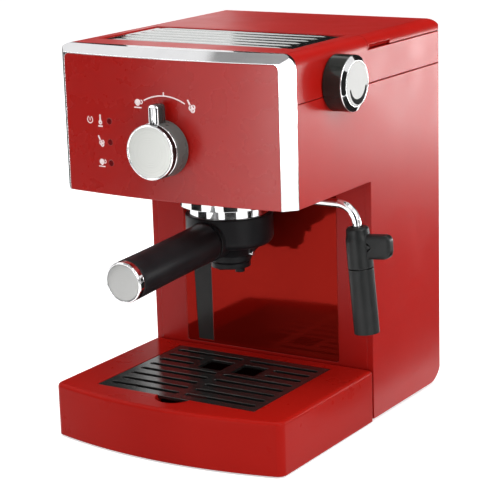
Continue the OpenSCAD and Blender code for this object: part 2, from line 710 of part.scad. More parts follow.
// The wand's stub turns in this socket on the head's floor
module swivel_socket() at_origin() color([0.75, 0.6, 0.3]) difference() {
    union() {
        rod_z(wand_x, steam_y - 1, ring_floor_z, ring_floor_z + 2.5, socket_r + 4);
        rod_z(wand_x, steam_y - 1, ring_floor_z, socket_z + socket_h, socket_r);
    }
    rod_z(wand_x, steam_y - 1, 0, socket_z + socket_h - 3, wand_r + fit_gap);
    rod_z(wand_x, steam_y - 1, 0, ring_floor_z + 1.6, wand_r + 1);
}
module steam_tube() at_origin() color([0.85, 0.85, 0.87]) translate([0, steam_y - 1, 0]) {
    rod_z(wand_x, 0, wand_z + stub_bend_r - bend_lap, socket_z + socket_h - 3.3, wand_r);
    translate([wand_x + stub_bend_r, 0, wand_z + stub_bend_r]) tube_bend(stub_bend_r, 180, 90);
    rod_x(0, wand_z, wand_x + stub_bend_r - bend_lap, bend_x + bend_lap, wand_r);
    translate([bend_x, 0, wand_z - wand_bend_r]) tube_bend(wand_bend_r, wand_lean, 90 - wand_lean);
    translate([0, 1 - steam_y, 0]) along_wand(-bend_lap)
        cylinder(h = grip_len + 26 + bend_lap, r = wand_r);
}
// A bend in the XZ plane; it is a hair thinner than the tube, and the straights lap over its ends
module tube_bend(r, start, sweep) rotate([90, 0, 0]) rotate([0, 0, start])
    rotate_extrude(angle = sweep) translate([r, 0]) circle(wand_r - 0.03);
module frother_grip() at_origin() color([0.09, 0.09, 0.1]) along_wand(0) difference() {
    union() {
        rotate_extrude() polygon([[0, 1.5], [6.5, 1.5], [frother_r - 1, 3.5], [frother_r - 1, 7],
            [frother_r - 0.4, 8], [frother_r, 11], [frother_r, grip_len], [0, grip_len]]);
        rotate([90, 0, 0]) translate([0, 0, -4]) linear_extrude(8) mirror([1, 0])
            round_rect(0, tab_drop, tab_reach, tab_drop + tab_h, [0, 4, 5, 0]);
        translate([0, 0, grip_len - 1]) cylinder(h = 13, r = frother_r - 3);
    }
    translate([0, 0, -1]) cylinder(h = grip_len + 30, r = wand_r);
}
module frother_sleeve() at_origin() color([0.11, 0.11, 0.12])
    along_wand(grip_len + 0.4) difference() {
        cylinder(h = sleeve_len, r = frother_r - 0.1);
        translate([0, 0, -1]) cylinder(h = 15, r = frother_r - 3 + fit_gap);
        translate([0, 0, -1]) cylinder(h = sleeve_len + 2, r = wand_r + 1.2);
    }

// ---- brewing group -------------------------------------------------------
module group_ring() at_origin() color([0.83, 0.83, 0.84]) translate([0, group_y, 0]) difference() {
    union() {
        rod_z(0, 0, group_z, ring_floor_z, group_r);
        rod_z(0, 0, ring_floor_z, ring_top_z, group_r + 4);
    }
    rod_z(0, 0, 0, gasket_z, rim_r + fit_gap + 0.3);
    rod_z(0, 0, groove_z, groove_z + groove_h, groove_r);
    rod_z(0, 0, 0, ring_top_z - wall, rim_r - 0.3);
    rod_z(0, 0, 0, far, 2.4);
    rotate([0, 0, -unlock_deg]) bayonet_gates();
}
module bayonet_gates() for (side = [0, 180]) rotate([0, 0, side])
    intersection() {
        rod_z(0, 0, 0, groove_z + 0.5, groove_r - 0.1);
        wedge(ear_half_deg + 4);
    }
// A sector about +X, of the given half angle
module wedge(half_deg) along_z(0, far) polygon([[0, 0],
    [60 * cos(half_deg), -60 * sin(half_deg)], [60 * cos(half_deg), 60 * sin(half_deg)]]);
module group_gasket() at_origin() color([0.1, 0.1, 0.1]) translate([0, group_y, 0]) difference() {
    rod_z(0, 0, gasket_z, gasket_z + gasket_h, rim_r - 0.35);
    rod_z(0, 0, 0, far, rim_r - 6.5);
}
module shower_screen() at_origin() color([0.8, 0.8, 0.8]) translate([0, group_y, 0]) difference() {
    union() {
        rod_z(0, 0, gasket_z - 1, gasket_z + 0.2, rim_r - 7);
        rod_z(0, 0, gasket_z, gasket_z + gasket_h, 6);
    }
    rod_z(0, 0, 0, far, 2.4);
    for (ring = [11, 16, 21]) for (k = [0:ring - 1])
        rotate([0, 0, k * 360 / ring]) rod_z(ring, 0, 0, far, 0.7, $fn = 16);
}
module shower_screw() at_origin() color([0.75, 0.75, 0.75]) translate([0, group_y, 0]) {
    rod_z(0, 0, gasket_z - 2.6, gasket_z - 1, 4);
    rod_z(0, 0, gasket_z - 1.5, ring_top_z - 0.5, 2.3);
}
module boiler() at_origin() color([0.7, 0.7, 0.72]) translate([0, group_y, 0]) difference() {
    union() {
        rod_z(0, 0, boiler_z, boiler_z + boiler_h, boiler_r);
        rod_z(0, 0, boiler_z, boiler_z + 4, boiler_r + 4);
        rod_z(0, 0, boiler_z + boiler_h - 4, boiler_z + boiler_h, boiler_r + 3);
    }
    rod_z(0, 0, boiler_z + 4, far, boiler_r - 4);
}
module boiler_cover() at_origin() color([0.75, 0.75, 0.77]) translate([0, group_y, 0]) difference() {
    union() {
        rod_z(0, 0, boiler_z + boiler_h, boiler_z + boiler_h + 4, boiler_r + 3);
        rod_z(0, 0, boiler_z + boiler_h, cover_top_z, boiler_r - 8);
    }
    screw_circle() rod_z(0, 0, 0, far, 1.6);
}
module screw_circle() for (k = [0:5]) rotate([0, 0, 30 + k * 60])
    translate([boiler_r - 0.5, 0, 0]) children();
module boiler_screws() at_origin() color([0.7, 0.7, 0.7]) translate([0, group_y, 0])
    screw_circle() {
        rod_z(0, 0, boiler_z + boiler_h + 4, boiler_z + boiler_h + 6.5, 3);
        rod_z(0, 0, boiler_z + boiler_h, boiler_z + boiler_h + 4.5, 1.5);
    }
module thermostats() at_origin() color([0.2, 0.2, 0.2]) translate([0, group_y, 0])
    for (x = [-14, 4]) rod_z(x, 10, cover_top_z, cover_top_z + 7, 7);

// ---- pump, hoses, electrics ----------------------------------------------
module pump() at_origin() color([0.72, 0.58, 0.3]) {
    rod_z(pump_x, pump_y, pump_z0 + 12, pump_z1 - 14, pump_r);
    rod_z(pump_x, pump_y, pump_z0, pump_z0 + 13, 5);
    rod_z(pump_x, pump_y, pump_z1 - 15, pump_z1, 6);
}
module pump_coil() at_origin() color([0.2, 0.2, 0.22]) difference() {
    block(pump_x - coil_w / 2, pump_x + coil_w / 2, pump_y - coil_w / 2, pump_y + coil_w / 2,
        coil_z0, coil_z1);
    rod_z(pump_x, pump_y, 0, far, pump_r);
}
module pump_mounts() at_origin() color([0.1, 0.1, 0.1]) for (y = mount_ys)
    rod_z(pump_x, y, base_top_z + 3, coil_z0, mount_r);
module suction_hose() at_origin() color([0.85, 0.85, 0.8])
    run([[tank_mid_x + valve_r + 2, pump_y, suction_z], [pump_x, pump_y, suction_z],
        [pump_x, pump_y, pump_z0]], hose_r);
module pressure_hose() at_origin() color([0.85, 0.85, 0.8])
    run([[pump_x, pump_y, pump_z1], [pump_x, pump_y, hose_z], [pump_x, group_y - 4, hose_z],
        [hose_x, group_y - 4, hose_z], [hose_x, group_y - 4, cover_top_z]], hose_r - 1);
module control_board() at_origin() color([0.1, 0.35, 0.15]) {
    block(board_x - board_t, board_x, board_y - board_l / 2, board_y + board_l / 2,
        board_z - board_h / 2, board_z + board_h / 2);
    for (y = [6 - board_l / 2, board_l / 2 - 6]) for (z = [6 - board_h / 2, board_h / 2 - 6])
        rod_x(board_y + y, board_z + z, board_x - 0.1, inner_x, 2.5);
    // Transformer, relay and a row of capacitors
    translate([board_x - board_t, board_y, board_z]) {
        block(-13, 0, -30, -8, -30, -5);
        block(-9, 0, 4, 26, -30, -12);
        for (y = [-28, -14, 0]) rod_x(y, 20, -12, 0, 5);
    }
}
module cord_gland() at_origin() color([0.1, 0.1, 0.1]) difference() {
    union() {
        rod_y(gland_x, gland_z, inner_back_y, body_d, 6.9);
        rod_y(gland_x, gland_z, inner_back_y - 4, inner_back_y, 9);
    }
    rod_y(gland_x, gland_z, 0, far, 3.6);
}
module switch_case() at_origin() color([0.1, 0.1, 0.1]) difference() {
    union() {
        block(gland_x - rocker_w / 2 - 1.9, gland_x + rocker_w / 2 + 1.9, inner_back_y, body_d,
            rocker_z - rocker_h / 2 - 1.9, rocker_z + rocker_h / 2 + 1.9);
        block(gland_x - rocker_w / 2 - 3, gland_x + rocker_w / 2 + 3, inner_back_y - 16, inner_back_y,
            rocker_z - rocker_h / 2 - 3, rocker_z + rocker_h / 2 + 3);
    }
    block(gland_x - rocker_w / 2 - 0.3, gland_x + rocker_w / 2 + 0.3, body_d - 9, far,
        rocker_z - rocker_h / 2 - 0.6, rocker_z + rocker_h / 2 + 0.6);
}
module power_rocker() at_origin() color([0.13, 0.13, 0.14])
    along_x(gland_x - rocker_w / 2, gland_x + rocker_w / 2) polygon([
        [rocker_pivot_y - 2, rocker_z - rocker_h / 2 + 0.6],
        [rocker_pivot_y + 3.2, rocker_z - rocker_h / 2 + 0.3],
        [rocker_pivot_y + 2.2, rocker_z],
        [rocker_pivot_y + 3.2, rocker_z + rocker_h / 2 - 0.3],
        [rocker_pivot_y - 2, rocker_z + rocker_h / 2 - 0.6],
        [rocker_pivot_y - 2.6, rocker_z]]);

// ---- portafilter ---------------------------------------------------------
module filter_holder() at_origin() color([0.85, 0.85, 0.86]) translate([0, group_y, 0]) difference() {
    union() {
        rod_z(0, 0, rim_seat_z, rim_top_z, rim_r);
        intersection() {
            rod_z(0, 0, groove_z + 0.4, groove_z + 0.4 + ear_h, ear_r);
            union() {
                wedge(ear_half_deg);
                rotate([0, 0, 180]) wedge(ear_half_deg);
            }
        }
    }
    rod_z(0, 0, rim_seat_z + 2, far, rim_r - 2.8);
    rod_z(0, 0, 0, far, 6);
}
module filter_basket() at_origin() color([0.8, 0.8, 0.8]) translate([0, group_y, 0]) difference() {
    union() {
        rod_z(0, 0, cup_top_z + 3, rim_top_z, rim_r - 3);
        rod_z(0, 0, rim_top_z, rim_top_z + 0.6, rim_r - 0.8);
    }
    rod_z(0, 0, cup_top_z + 3.8, far, rim_r - 3.7);
    for (ring = [6, 12, 18, 24]) for (k = [0:ring - 1])
        rotate([0, 0, k * 360 / ring]) rod_z(ring, 0, 0, far, 0.7, $fn = 16);
}
module portafilter_body() at_origin() color([0.09, 0.09, 0.1]) difference() {
    union() {
        translate([0, group_y, 0]) rotate_extrude() cup_profile();
        along_handle(18) cylinder(h = 16, r = handle_r + 0.5);
    }
    rod_z(0, group_y, rim_seat_z, far, rim_r);
    rod_z(0, group_y, cup_z + 3, far, rim_r - 8);
    rod_z(0, group_y, 0, far, 5);
    along_handle(26) cylinder(h = 30, r = 3);
    valve_pin_shape();
}
// Half section of the body and its neck
module cup_profile() difference() {
    union() {
        round_rect(-cup_r, cup_z, cup_r, cup_top_z, [6, 6, 1, 1]);
        round_rect(-neck_r, neck_z, neck_r, cup_z + 4, [2, 2, 0, 0]);
        // The body narrows to its neck in a cone
        polygon([[0, cup_z - 8], [neck_r + 1.5, cup_z - 8], [cup_r - 0.5, cup_z + 7], [0, cup_z + 7]]);
    }
    translate([-far, -far]) square([far, 2 * far]);
}
module handle() at_origin() color([0.1, 0.1, 0.11]) difference() {
    along_handle(34) cylinder(h = handle_reach - cap_len - 34, r = handle_r);
    along_handle(26) cylinder(h = 30, r = 3);
    along_handle(handle_reach - cap_len - 5) cylinder(h = 10, r = 6);
}
module handle_cap() at_origin() color([0.85, 0.85, 0.86]) along_handle(handle_reach) rotate([180, 0, 0])
    rotate_extrude() polygon([[0, 0.5], [handle_r - 1.8, 0.5], [handle_r - 1.2, 0],
        [handle_r - 0.4, 0.5], [handle_r, 1.5], [handle_r, cap_len], [5.9, cap_len],
        [5.9, cap_len + 4.5], [0, cap_len + 4.5]]);
module handle_stud() at_origin() color([0.7, 0.7, 0.7]) along_handle(26) cylinder(h = 30, r = 3);
module spout() at_origin() color([0.09, 0.09, 0.1]) difference() {
    union() {
        rod_z(0, group_y, neck_z - 4, neck_z, neck_r - 1);
        rod_z(0, group_y, neck_z - 1, neck_z + 8, 4.9);
        for (x = [-8, 8]) rod_z(x, group_y, neck_z - 8, neck_z - 3, 3.6);
    }
    for (x = [-8, 8]) rod_z(x, group_y, 0, neck_z - 2, 2.2);
    rod_x(group_y, neck_z - 2.2, -9, 9, 1.2);
    rod_z(0, group_y, neck_z - 2.2, far, 2.5);
}
// Small bright pin of the crema valve, low on the neck's right side
module valve_pin_shape() translate([0, group_y, cup_z - 6]) rotate([0, 90, -8])
    cylinder(h = neck_r + 7, r = 1.8);
module valve_pin() at_origin() color([0.85, 0.85, 0.85]) difference() {
    valve_pin_shape();
    rod_z(0, group_y, 0, far, 5);
}

// ---- drip tray -----------------------------------------------------------
module tray_form(inset, z0, z1) intersection() {
    block(-half_w + inset, half_w - inset, tray_y - 1, tray_back_y - inset, z0, z1);
    along_y(-far, far) round_rect(-half_w + inset, z0, half_w - inset, z1,
        [0, 0, tray_edge_r, tray_edge_r]);
    translate([0, tray_y + tray_bow_r, 0]) edge_disc(tray_bow_r - inset, z0, z1, 720);
    tray_corners(inset, z0, z1);
}
// A disc with the tray's rounded top edge
module edge_disc(r, z0, z1, turns = 96) rotate_extrude($fn = turns) intersection() {
    round_rect(-1, z0, r, z1, [0, 0, tray_edge_r, 0]);
    translate([0, -1]) square(far);
}
// Rounds the corners between the bowed front and the sides; each corner's arc touches both
module tray_corners(inset, z0, z1) difference() {
    block(-far, far, -far, far, z0 - 1, z1 + 1);
    both_sides() {
        x = half_w - tray_corner_r - inset;
        reach = tray_bow_r - tray_corner_r - inset;
        y = tray_y + tray_bow_r - sqrt(reach * reach - x * x);
        difference() {
            along_z(z0 - 2, z1 + 2) polygon([[x, y],
                [x, y] + 40 / reach * [x, y - tray_y - tray_bow_r], [x + 40, y - 40], [x + 40, y]]);
            translate([x, y, 0]) edge_disc(tray_corner_r + corner_lap, z0, z1);
        }
    }
}

module drip_tray() at_origin() color([0.63, 0.09, 0.1]) difference() {
    union() {
        difference() {
            tray_form(0, tray_skirt_z, tray_top);
            tray_form(wall, 0, tray_top - wall);
            // The skirt is open at the back, where the tray passes over the base plate
            block(-half_w + wall, half_w - wall, column_y / 2, far, 0, base_top_z + tray_gap);
        }
        rod_z(0, grid_y + 1, recess_z - wall, tray_top - wall + eps, recess_r + wall);
        block(-grid_w / 2 - wall, grid_w / 2 + wall, grid_y - wall, grid_y + grid_d + wall,
            basin_z - wall, tray_top - wall + eps);
    }
    block(-basin_x, basin_x, basin_y0, basin_y1, basin_z, far);
    block(-grid_w / 2 - 0.3, grid_w / 2 + 0.3, grid_y - 0.3, grid_y + grid_d + 0.3,
        grid_z - grid_t - 0.3, far);
    rod_z(0, grid_y + 1, recess_z, far, recess_r);
}
module drip_grid() at_origin() color([0.25, 0.25, 0.26])
    along_z(grid_z - grid_t, grid_z) difference() {
        round_rect(-grid_w / 2, grid_y, grid_w / 2, grid_y + grid_d, [2, 2, 2, 2]);
        for (row = [0:grid_rows - 1]) both_sides() grid_row(row);
        both_sides() translate([4.5, grid_y + grid_d - 2.6 * slot_pitch - 8.5])
            square([grid_w * 0.155, 2 * slot_pitch - 4]);
    }
// Rows are counted from the front; the second and third from the back are cut short
module grid_row(row) {
    short_row = row == grid_rows - 2 || row == grid_rows - 3;
    x0 = short_row ? grid_w * 0.25 : 5.5;
    x1 = grid_w / 2 - 8;
    y = grid_y + (row + 0.85) * slot_pitch;
    translate([x0, y - slot_w / 2]) square([x1 - x0, slot_w]);
    for (x = [x0, x1]) translate([x, y]) circle(slot_w / 2);
}

// ---- what is drawn -------------------------------------------------------
left_side();
right_side();
column_shell();
back_shell();
top_housing();
front_panel();
front_bezel();
cup_plate();
niche_panel();
level_window();
base_plate();
rubber_feet();
base_screws();
tank_lid();
hinge_pins();
water_tank();
tank_valve();
tank_dock();
selector_knob();
selector_disc();
selector_shaft();
selector_switch();
lamp_lenses();
lamp_board();
steam_knob();
steam_knob_disc();
steam_stem();
steam_valve();
steam_pipes();
swivel_socket();
group_ring();
group_gasket();
shower_screen();
shower_screw();
boiler();
boiler_cover();
boiler_screws();
thermostats();
pump();
pump_coil();
pump_mounts();
suction_hose();
pressure_hose();
control_board();
cord_gland();
switch_case();
power_rocker();
filter_holder();
filter_basket();
portafilter_body();
handle();
handle_cap();
handle_stud();
spout();
valve_pin();
steam_tube();
frother_grip();
frother_sleeve();
drip_tray();
drip_grid();
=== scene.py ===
import math

import bpy
import numpy as np
from mathutils import Matrix, Vector


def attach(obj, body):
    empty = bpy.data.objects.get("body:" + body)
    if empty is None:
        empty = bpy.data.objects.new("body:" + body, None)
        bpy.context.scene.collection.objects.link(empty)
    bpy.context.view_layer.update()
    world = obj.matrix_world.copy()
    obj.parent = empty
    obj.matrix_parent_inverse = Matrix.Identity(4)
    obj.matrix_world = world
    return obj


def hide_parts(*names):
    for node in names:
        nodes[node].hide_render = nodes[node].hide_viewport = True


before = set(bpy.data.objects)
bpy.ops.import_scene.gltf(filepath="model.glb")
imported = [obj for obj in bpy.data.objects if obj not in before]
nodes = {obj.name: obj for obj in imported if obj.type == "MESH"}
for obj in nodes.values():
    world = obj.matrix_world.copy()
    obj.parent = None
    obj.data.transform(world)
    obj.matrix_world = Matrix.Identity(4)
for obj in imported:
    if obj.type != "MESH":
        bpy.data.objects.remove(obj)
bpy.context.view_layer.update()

MM = 0.001
# The frame's origin in plan millimetres: X from the machine's middle, Y from the tray's front, Z from below
ORIGIN = np.array([22.3134, 114.1897, 0.0])

# Sizes of the part's source that the dressed pieces repeat, in plan millimetres
BODY_H = 297.0
BOW_R, BOW_Y = 700.7, 26.0                       # the panel's bow: its radius and its foremost line
LAMP_X, LAMP_PITCH = -50.0, 15.4
SELECTOR = np.array([0.0, 25.4, 227.5])          # the selector's axis, at the panel
SELECTOR_R, SELECTOR_D, SELECTOR_LIP = 20.4, 19.5, 6.0
STEAM = np.array([100.6, 96.0, 270.0])           # the steam knob's axis, at the side wall
STEAM_R, STEAM_D = 20.6, 17.0
PLATE_HALF_W, PLATE_Y0, PLATE_Y1 = 84.0, 65.0, 140.8
TUBE = np.array([101.0, 95.0, 182.5])            # where the steam tube starts its bend downwards
BEND_R = 15.0
HANDLE = np.array([0.0, 106.0, 150.0])           # the handle's line, on the group's axis
HANDLE_R = 15.0

# Directions of the pieces that stand out of the body
FORWARD, RIGHT = np.array([0.0, -1.0, 0.0]), np.array([1.0, 0.0, 0.0])
LEAN, DROOP = math.radians(5), math.radians(3.2)
WAND = TUBE + [BEND_R * math.cos(LEAN), 0, BEND_R * math.sin(LEAN) - BEND_R]
WAND_DOWN = np.array([math.sin(LEAN), 0, -math.cos(LEAN)])
WAND_OUT = np.array([math.cos(LEAN), 0, math.sin(LEAN)])
HANDLE_OUT = np.array([0.0, -math.cos(DROOP), -math.sin(DROOP)])


def place(points):
    """Plan millimetres to the frame's metres: the origin is taken off and the rest is scaled."""
    return (np.asarray(points, float) - ORIGIN) * MM


# ---- node trees ------------------------------------------------------------
class Nodes:
    """A node tree, with one short call for each kind of node."""

    def __init__(self, tree):
        self.tree = tree

    def node(self, kind, links=(), **values):
        made = self.tree.nodes.new(kind)
        for key, value in values.items():
            setattr(made, key, value)
        for socket, source in links:
            self.feed(made.inputs[socket], source)
        return made

    def feed(self, socket, source):
        """Links the socket to another node's output, or sets it to a constant."""
        if hasattr(source, "is_linked"):
            self.tree.links.new(source, socket)
        else:
            socket.default_value = source

    def reckon(self, operation, first, second=0.0):
        return self.node("ShaderNodeMath", [(0, first), (1, second)], operation=operation).outputs[0]

    def straight_rays(self):
        """One for camera, glossy and transmission rays, and nothing for the rest."""
        path = self.node("ShaderNodeLightPath").outputs
        pair = self.reckon("MAXIMUM", path["Is Camera Ray"], path["Is Glossy Ray"])
        return self.reckon("MAXIMUM", pair, path["Is Transmission Ray"])


class Finish(Nodes):
    """A material's node tree, built on Object coordinates in metres."""

    def __init__(self, name):
        self.material = bpy.data.materials.new(name)
        self.material.use_nodes = True
        super().__init__(self.material.node_tree)
        self.shader = self.tree.nodes["Principled BSDF"]
        self.coords = self.node("ShaderNodeTexCoord").outputs["Object"]

    def stretched(self, scale):
        """Object coordinates, scaled along each axis."""
        return self.node("ShaderNodeMapping", [("Vector", self.coords), ("Scale", scale)]).outputs[0]

    def noise(self, scale, detail=3, roughness=0.55, coords=None):
        links = [("Vector", coords or self.coords), ("Scale", scale), ("Detail", detail),
                 ("Roughness", roughness)]
        return self.node("ShaderNodeTexNoise", links).outputs["Fac"]

    def along(self, axis):
        """One of the three Object coordinates."""
        return self.node("ShaderNodeSeparateXYZ", [("Vector", self.coords)]).outputs[axis]

    def spread(self, source, low, high, start=0.3, stop=0.7):
        """A value carried from start..stop to low..high."""
        links = [("Value", source), ("From Min", start), ("From Max", stop),
                 ("To Min", low), ("To Max", high)]
        return self.node("ShaderNodeMapRange", links).outputs[0]

    def tint(self, source, dark, light, start=0.3, stop=0.7):
        """A colour carried from dark to light while the source goes from start to stop."""
        made = self.node("ShaderNodeValToRGB", [("Fac", source)])
        for end, position, colour in zip(made.color_ramp.elements, (start, stop), (dark, light)):
            end.position, end.color = position, (*colour, 1)
        return made.outputs[0]

    def relief(self, source, depth, strength, over=None):
        """Bump from a height in 0..1 that stands for depth metres."""
        links = [("Height", source), ("Distance", depth), ("Strength", strength)]
        if over is not None:
            links.append(("Normal", over))
        return self.node("ShaderNodeBump", links).outputs[0]

    def soft_edges(self, radius):
        """Normals that round every sharp edge by radius metres."""
        return self.node("ShaderNodeBevel", [("Radius", radius)], samples=8).outputs[0]

    def set(self, **values):
        for key, value in values.items():
            self.feed(self.shader.inputs[key.replace("_", " ")], value)
        return self.material


# ---- finishes --------------------------------------------------------------
# Scales of the noises that several finishes share, in turns per metre
FLOW, WEAR, PEEL, HAZE = 9, 35, 420, 70
# Radii that the shading gives to sharp edges, in metres
MOULDED_EDGE, GRAINED_EDGE, PLATED_EDGE, GROUND_EDGE = 0.0008, 0.0006, 0.0005, 0.0004


def darker(tone, share):
    return tuple(c * share for c in tone)


def gloss_shell(name, dark, light, rough, gloss=0.3):
    """Polished moulded plastic: faint flow marks in the colour, a soft orange-peel skin."""
    f = Finish(name)
    flow = f.noise(FLOW, 2, coords=f.stretched((1, 1, 0.4)))
    return f.set(Base_Color=f.tint(flow, dark, light), Roughness=f.spread(f.noise(WEAR, 4), *rough),
                 Normal=f.relief(f.noise(PEEL, 2), 0.00002, 0.35, f.soft_edges(MOULDED_EDGE)),
                 Specular_IOR_Level=gloss)


def lacquered_metal(name, dark, light, rough, metal):
    """Bright sheet under a red lacquer: what it mirrors takes the lacquer's colour."""
    f = Finish(name)
    return f.set(Base_Color=f.tint(f.noise(FLOW, 2), dark, light), Metallic=metal,
                 Roughness=f.spread(f.noise(WEAR, 4), *rough),
                 Normal=f.relief(f.noise(PEEL, 2), 0.000006, 0.3, f.soft_edges(MOULDED_EDGE)),
                 Specular_IOR_Level=0.05)


def satin_mould(name, dark, light, rough=(0.36, 0.48), edge=GRAINED_EDGE, gloss=0.5):
    """Spark-eroded moulded plastic: a fine even grain with a satin sheen."""
    f = Finish(name)
    return f.set(Base_Color=f.tint(f.noise(60, 4), dark, light), Roughness=f.spread(f.noise(150), *rough),
                 Normal=f.relief(f.noise(900, 3, 0.7), 0.00006, 0.5, f.soft_edges(edge)),
                 Specular_IOR_Level=gloss)


def polished_metal(name, tone, rough):
    """Bright plating: nearly a mirror, with light hazing and very fine polishing lines."""
    f = Finish(name)
    haze = f.noise(HAZE, 4, 0.6)
    lines = f.noise(30, 3, 0.7, f.stretched((4, 4, 60)))
    return f.set(Base_Color=f.tint(haze, darker(tone, 0.94), tone), Metallic=1.0,
                 Roughness=f.spread(haze, *rough),
                 Normal=f.relief(lines, 0.000004, 0.3, f.soft_edges(PLATED_EDGE)))


def smoked_plating(name, tone, metal, rough, gloss):
    """Dark plating under a clear coat: part mirror, part grey body, with light hazing."""
    f = Finish(name)
    haze = f.noise(HAZE, 4, 0.6)
    return f.set(Base_Color=f.tint(haze, darker(tone, 0.85), tone), Metallic=metal,
                 Roughness=f.spread(haze, *rough),
                 Normal=f.relief(f.noise(500, 2), 0.000004, 0.3, f.soft_edges(GROUND_EDGE)),
                 Specular_IOR_Level=gloss)


def brushed_metal(name, dark, light, stretch, rough=(0.28, 0.42), metal=1.0):
    """Metal ground in one direction: long fine scratches in colour, gloss and relief."""
    f = Finish(name)
    grind = f.noise(6, 6, 0.75, f.stretched(stretch))
    return f.set(Base_Color=f.tint(grind, dark, light), Metallic=metal, Roughness=f.spread(grind, *rough),
                 Normal=f.relief(grind, 0.00002, 0.6, f.soft_edges(GROUND_EDGE)))


def spun_face(name, dark, light, centre, normal_axis, rough=(0.3, 0.4), metal=0.35, gloss=0.5):
    """Turned and lacquered face: fine rings round an axis through centre."""
    f = Finish(name)
    keep = [0 if axis == normal_axis else 1 for axis in "XYZ"]
    flat = f.node("ShaderNodeMapping", [("Vector", f.coords), ("Scale", tuple(keep)),
                                        ("Location", tuple(-c * k for c, k in zip(centre, keep)))]).outputs[0]
    radius = f.node("ShaderNodeVectorMath", [("Vector", flat)], operation="LENGTH").outputs["Value"]
    rings = f.node("ShaderNodeTexNoise", [("W", radius), ("Scale", 1600), ("Detail", 4)],
                   noise_dimensions="1D").outputs["Fac"]
    return f.set(Base_Color=f.tint(rings, dark, light), Metallic=metal, Roughness=f.spread(rings, *rough),
                 Normal=f.relief(rings, 0.00001, 0.4), Specular_IOR_Level=gloss)


def cloudy_clear(name, tone, share):
    """Clear moulded plastic with a light smoke in it."""
    f = Finish(name)
    return f.set(Base_Color=f.tint(f.noise(12), darker(tone, 0.9), tone),
                 Roughness=f.spread(f.noise(40), 0.05, 0.12),
                 Normal=f.relief(f.noise(200), 0.00001, 0.2, f.soft_edges(PLATED_EDGE)),
                 Transmission_Weight=share, IOR=1.45)


def smoked_strip(name, low, high):
    """Smoked window: a tone that darkens towards the top, with a polished skin."""
    f = Finish(name)
    rise = f.spread(f.along("Z"), 0, 1, 0.05, 0.18)
    return f.set(Base_Color=f.tint(rise, low, high, 0, 1), Roughness=f.spread(f.noise(60), 0.16, 0.24),
                 Normal=f.relief(f.noise(300), 0.00001, 0.2), Specular_IOR_Level=0.12)


def basin_shell(name, dark, light, basin_painted_shade, low, high, rough):
    """The tray's moulded red, with painted shade in the basin under the grid: a near-black tone on its floor
    stands for the shade there, and a box of Object coordinates from low to high picks the basin out."""
    f = Finish(name)
    skin = f.tint(f.noise(FLOW, 2, coords=f.stretched((1, 1, 0.4))), dark, light)
    inside = 1.0
    for axis, start, stop in zip("XYZ", low, high):
        off = f.reckon("ABSOLUTE", f.reckon("SUBTRACT", f.along(axis), (start + stop) / 2))
        inside = f.reckon("MULTIPLY", f.reckon("LESS_THAN", off, (stop - start) / 2), inside)
    # Inside the box the basin's floor takes the painted shade in place of the moulded red
    # A mixing node's sockets for colours: 0 is the share, 6 and 7 are the two colours, 2 is the result
    base = f.node("ShaderNodeMix", [(0, inside), (6, skin), (7, (*basin_painted_shade, 1))], data_type="RGBA").outputs[2]
    return f.set(Base_Color=base, Roughness=f.spread(f.noise(WEAR, 4), *rough),
                 Normal=f.relief(f.noise(PEEL, 2), 0.00002, 0.35, f.soft_edges(MOULDED_EDGE)),
                 Specular_IOR_Level=0.05)


def greys(*levels):
    """Colours without a hue, one for each level."""
    return [(level, level, level) for level in levels]


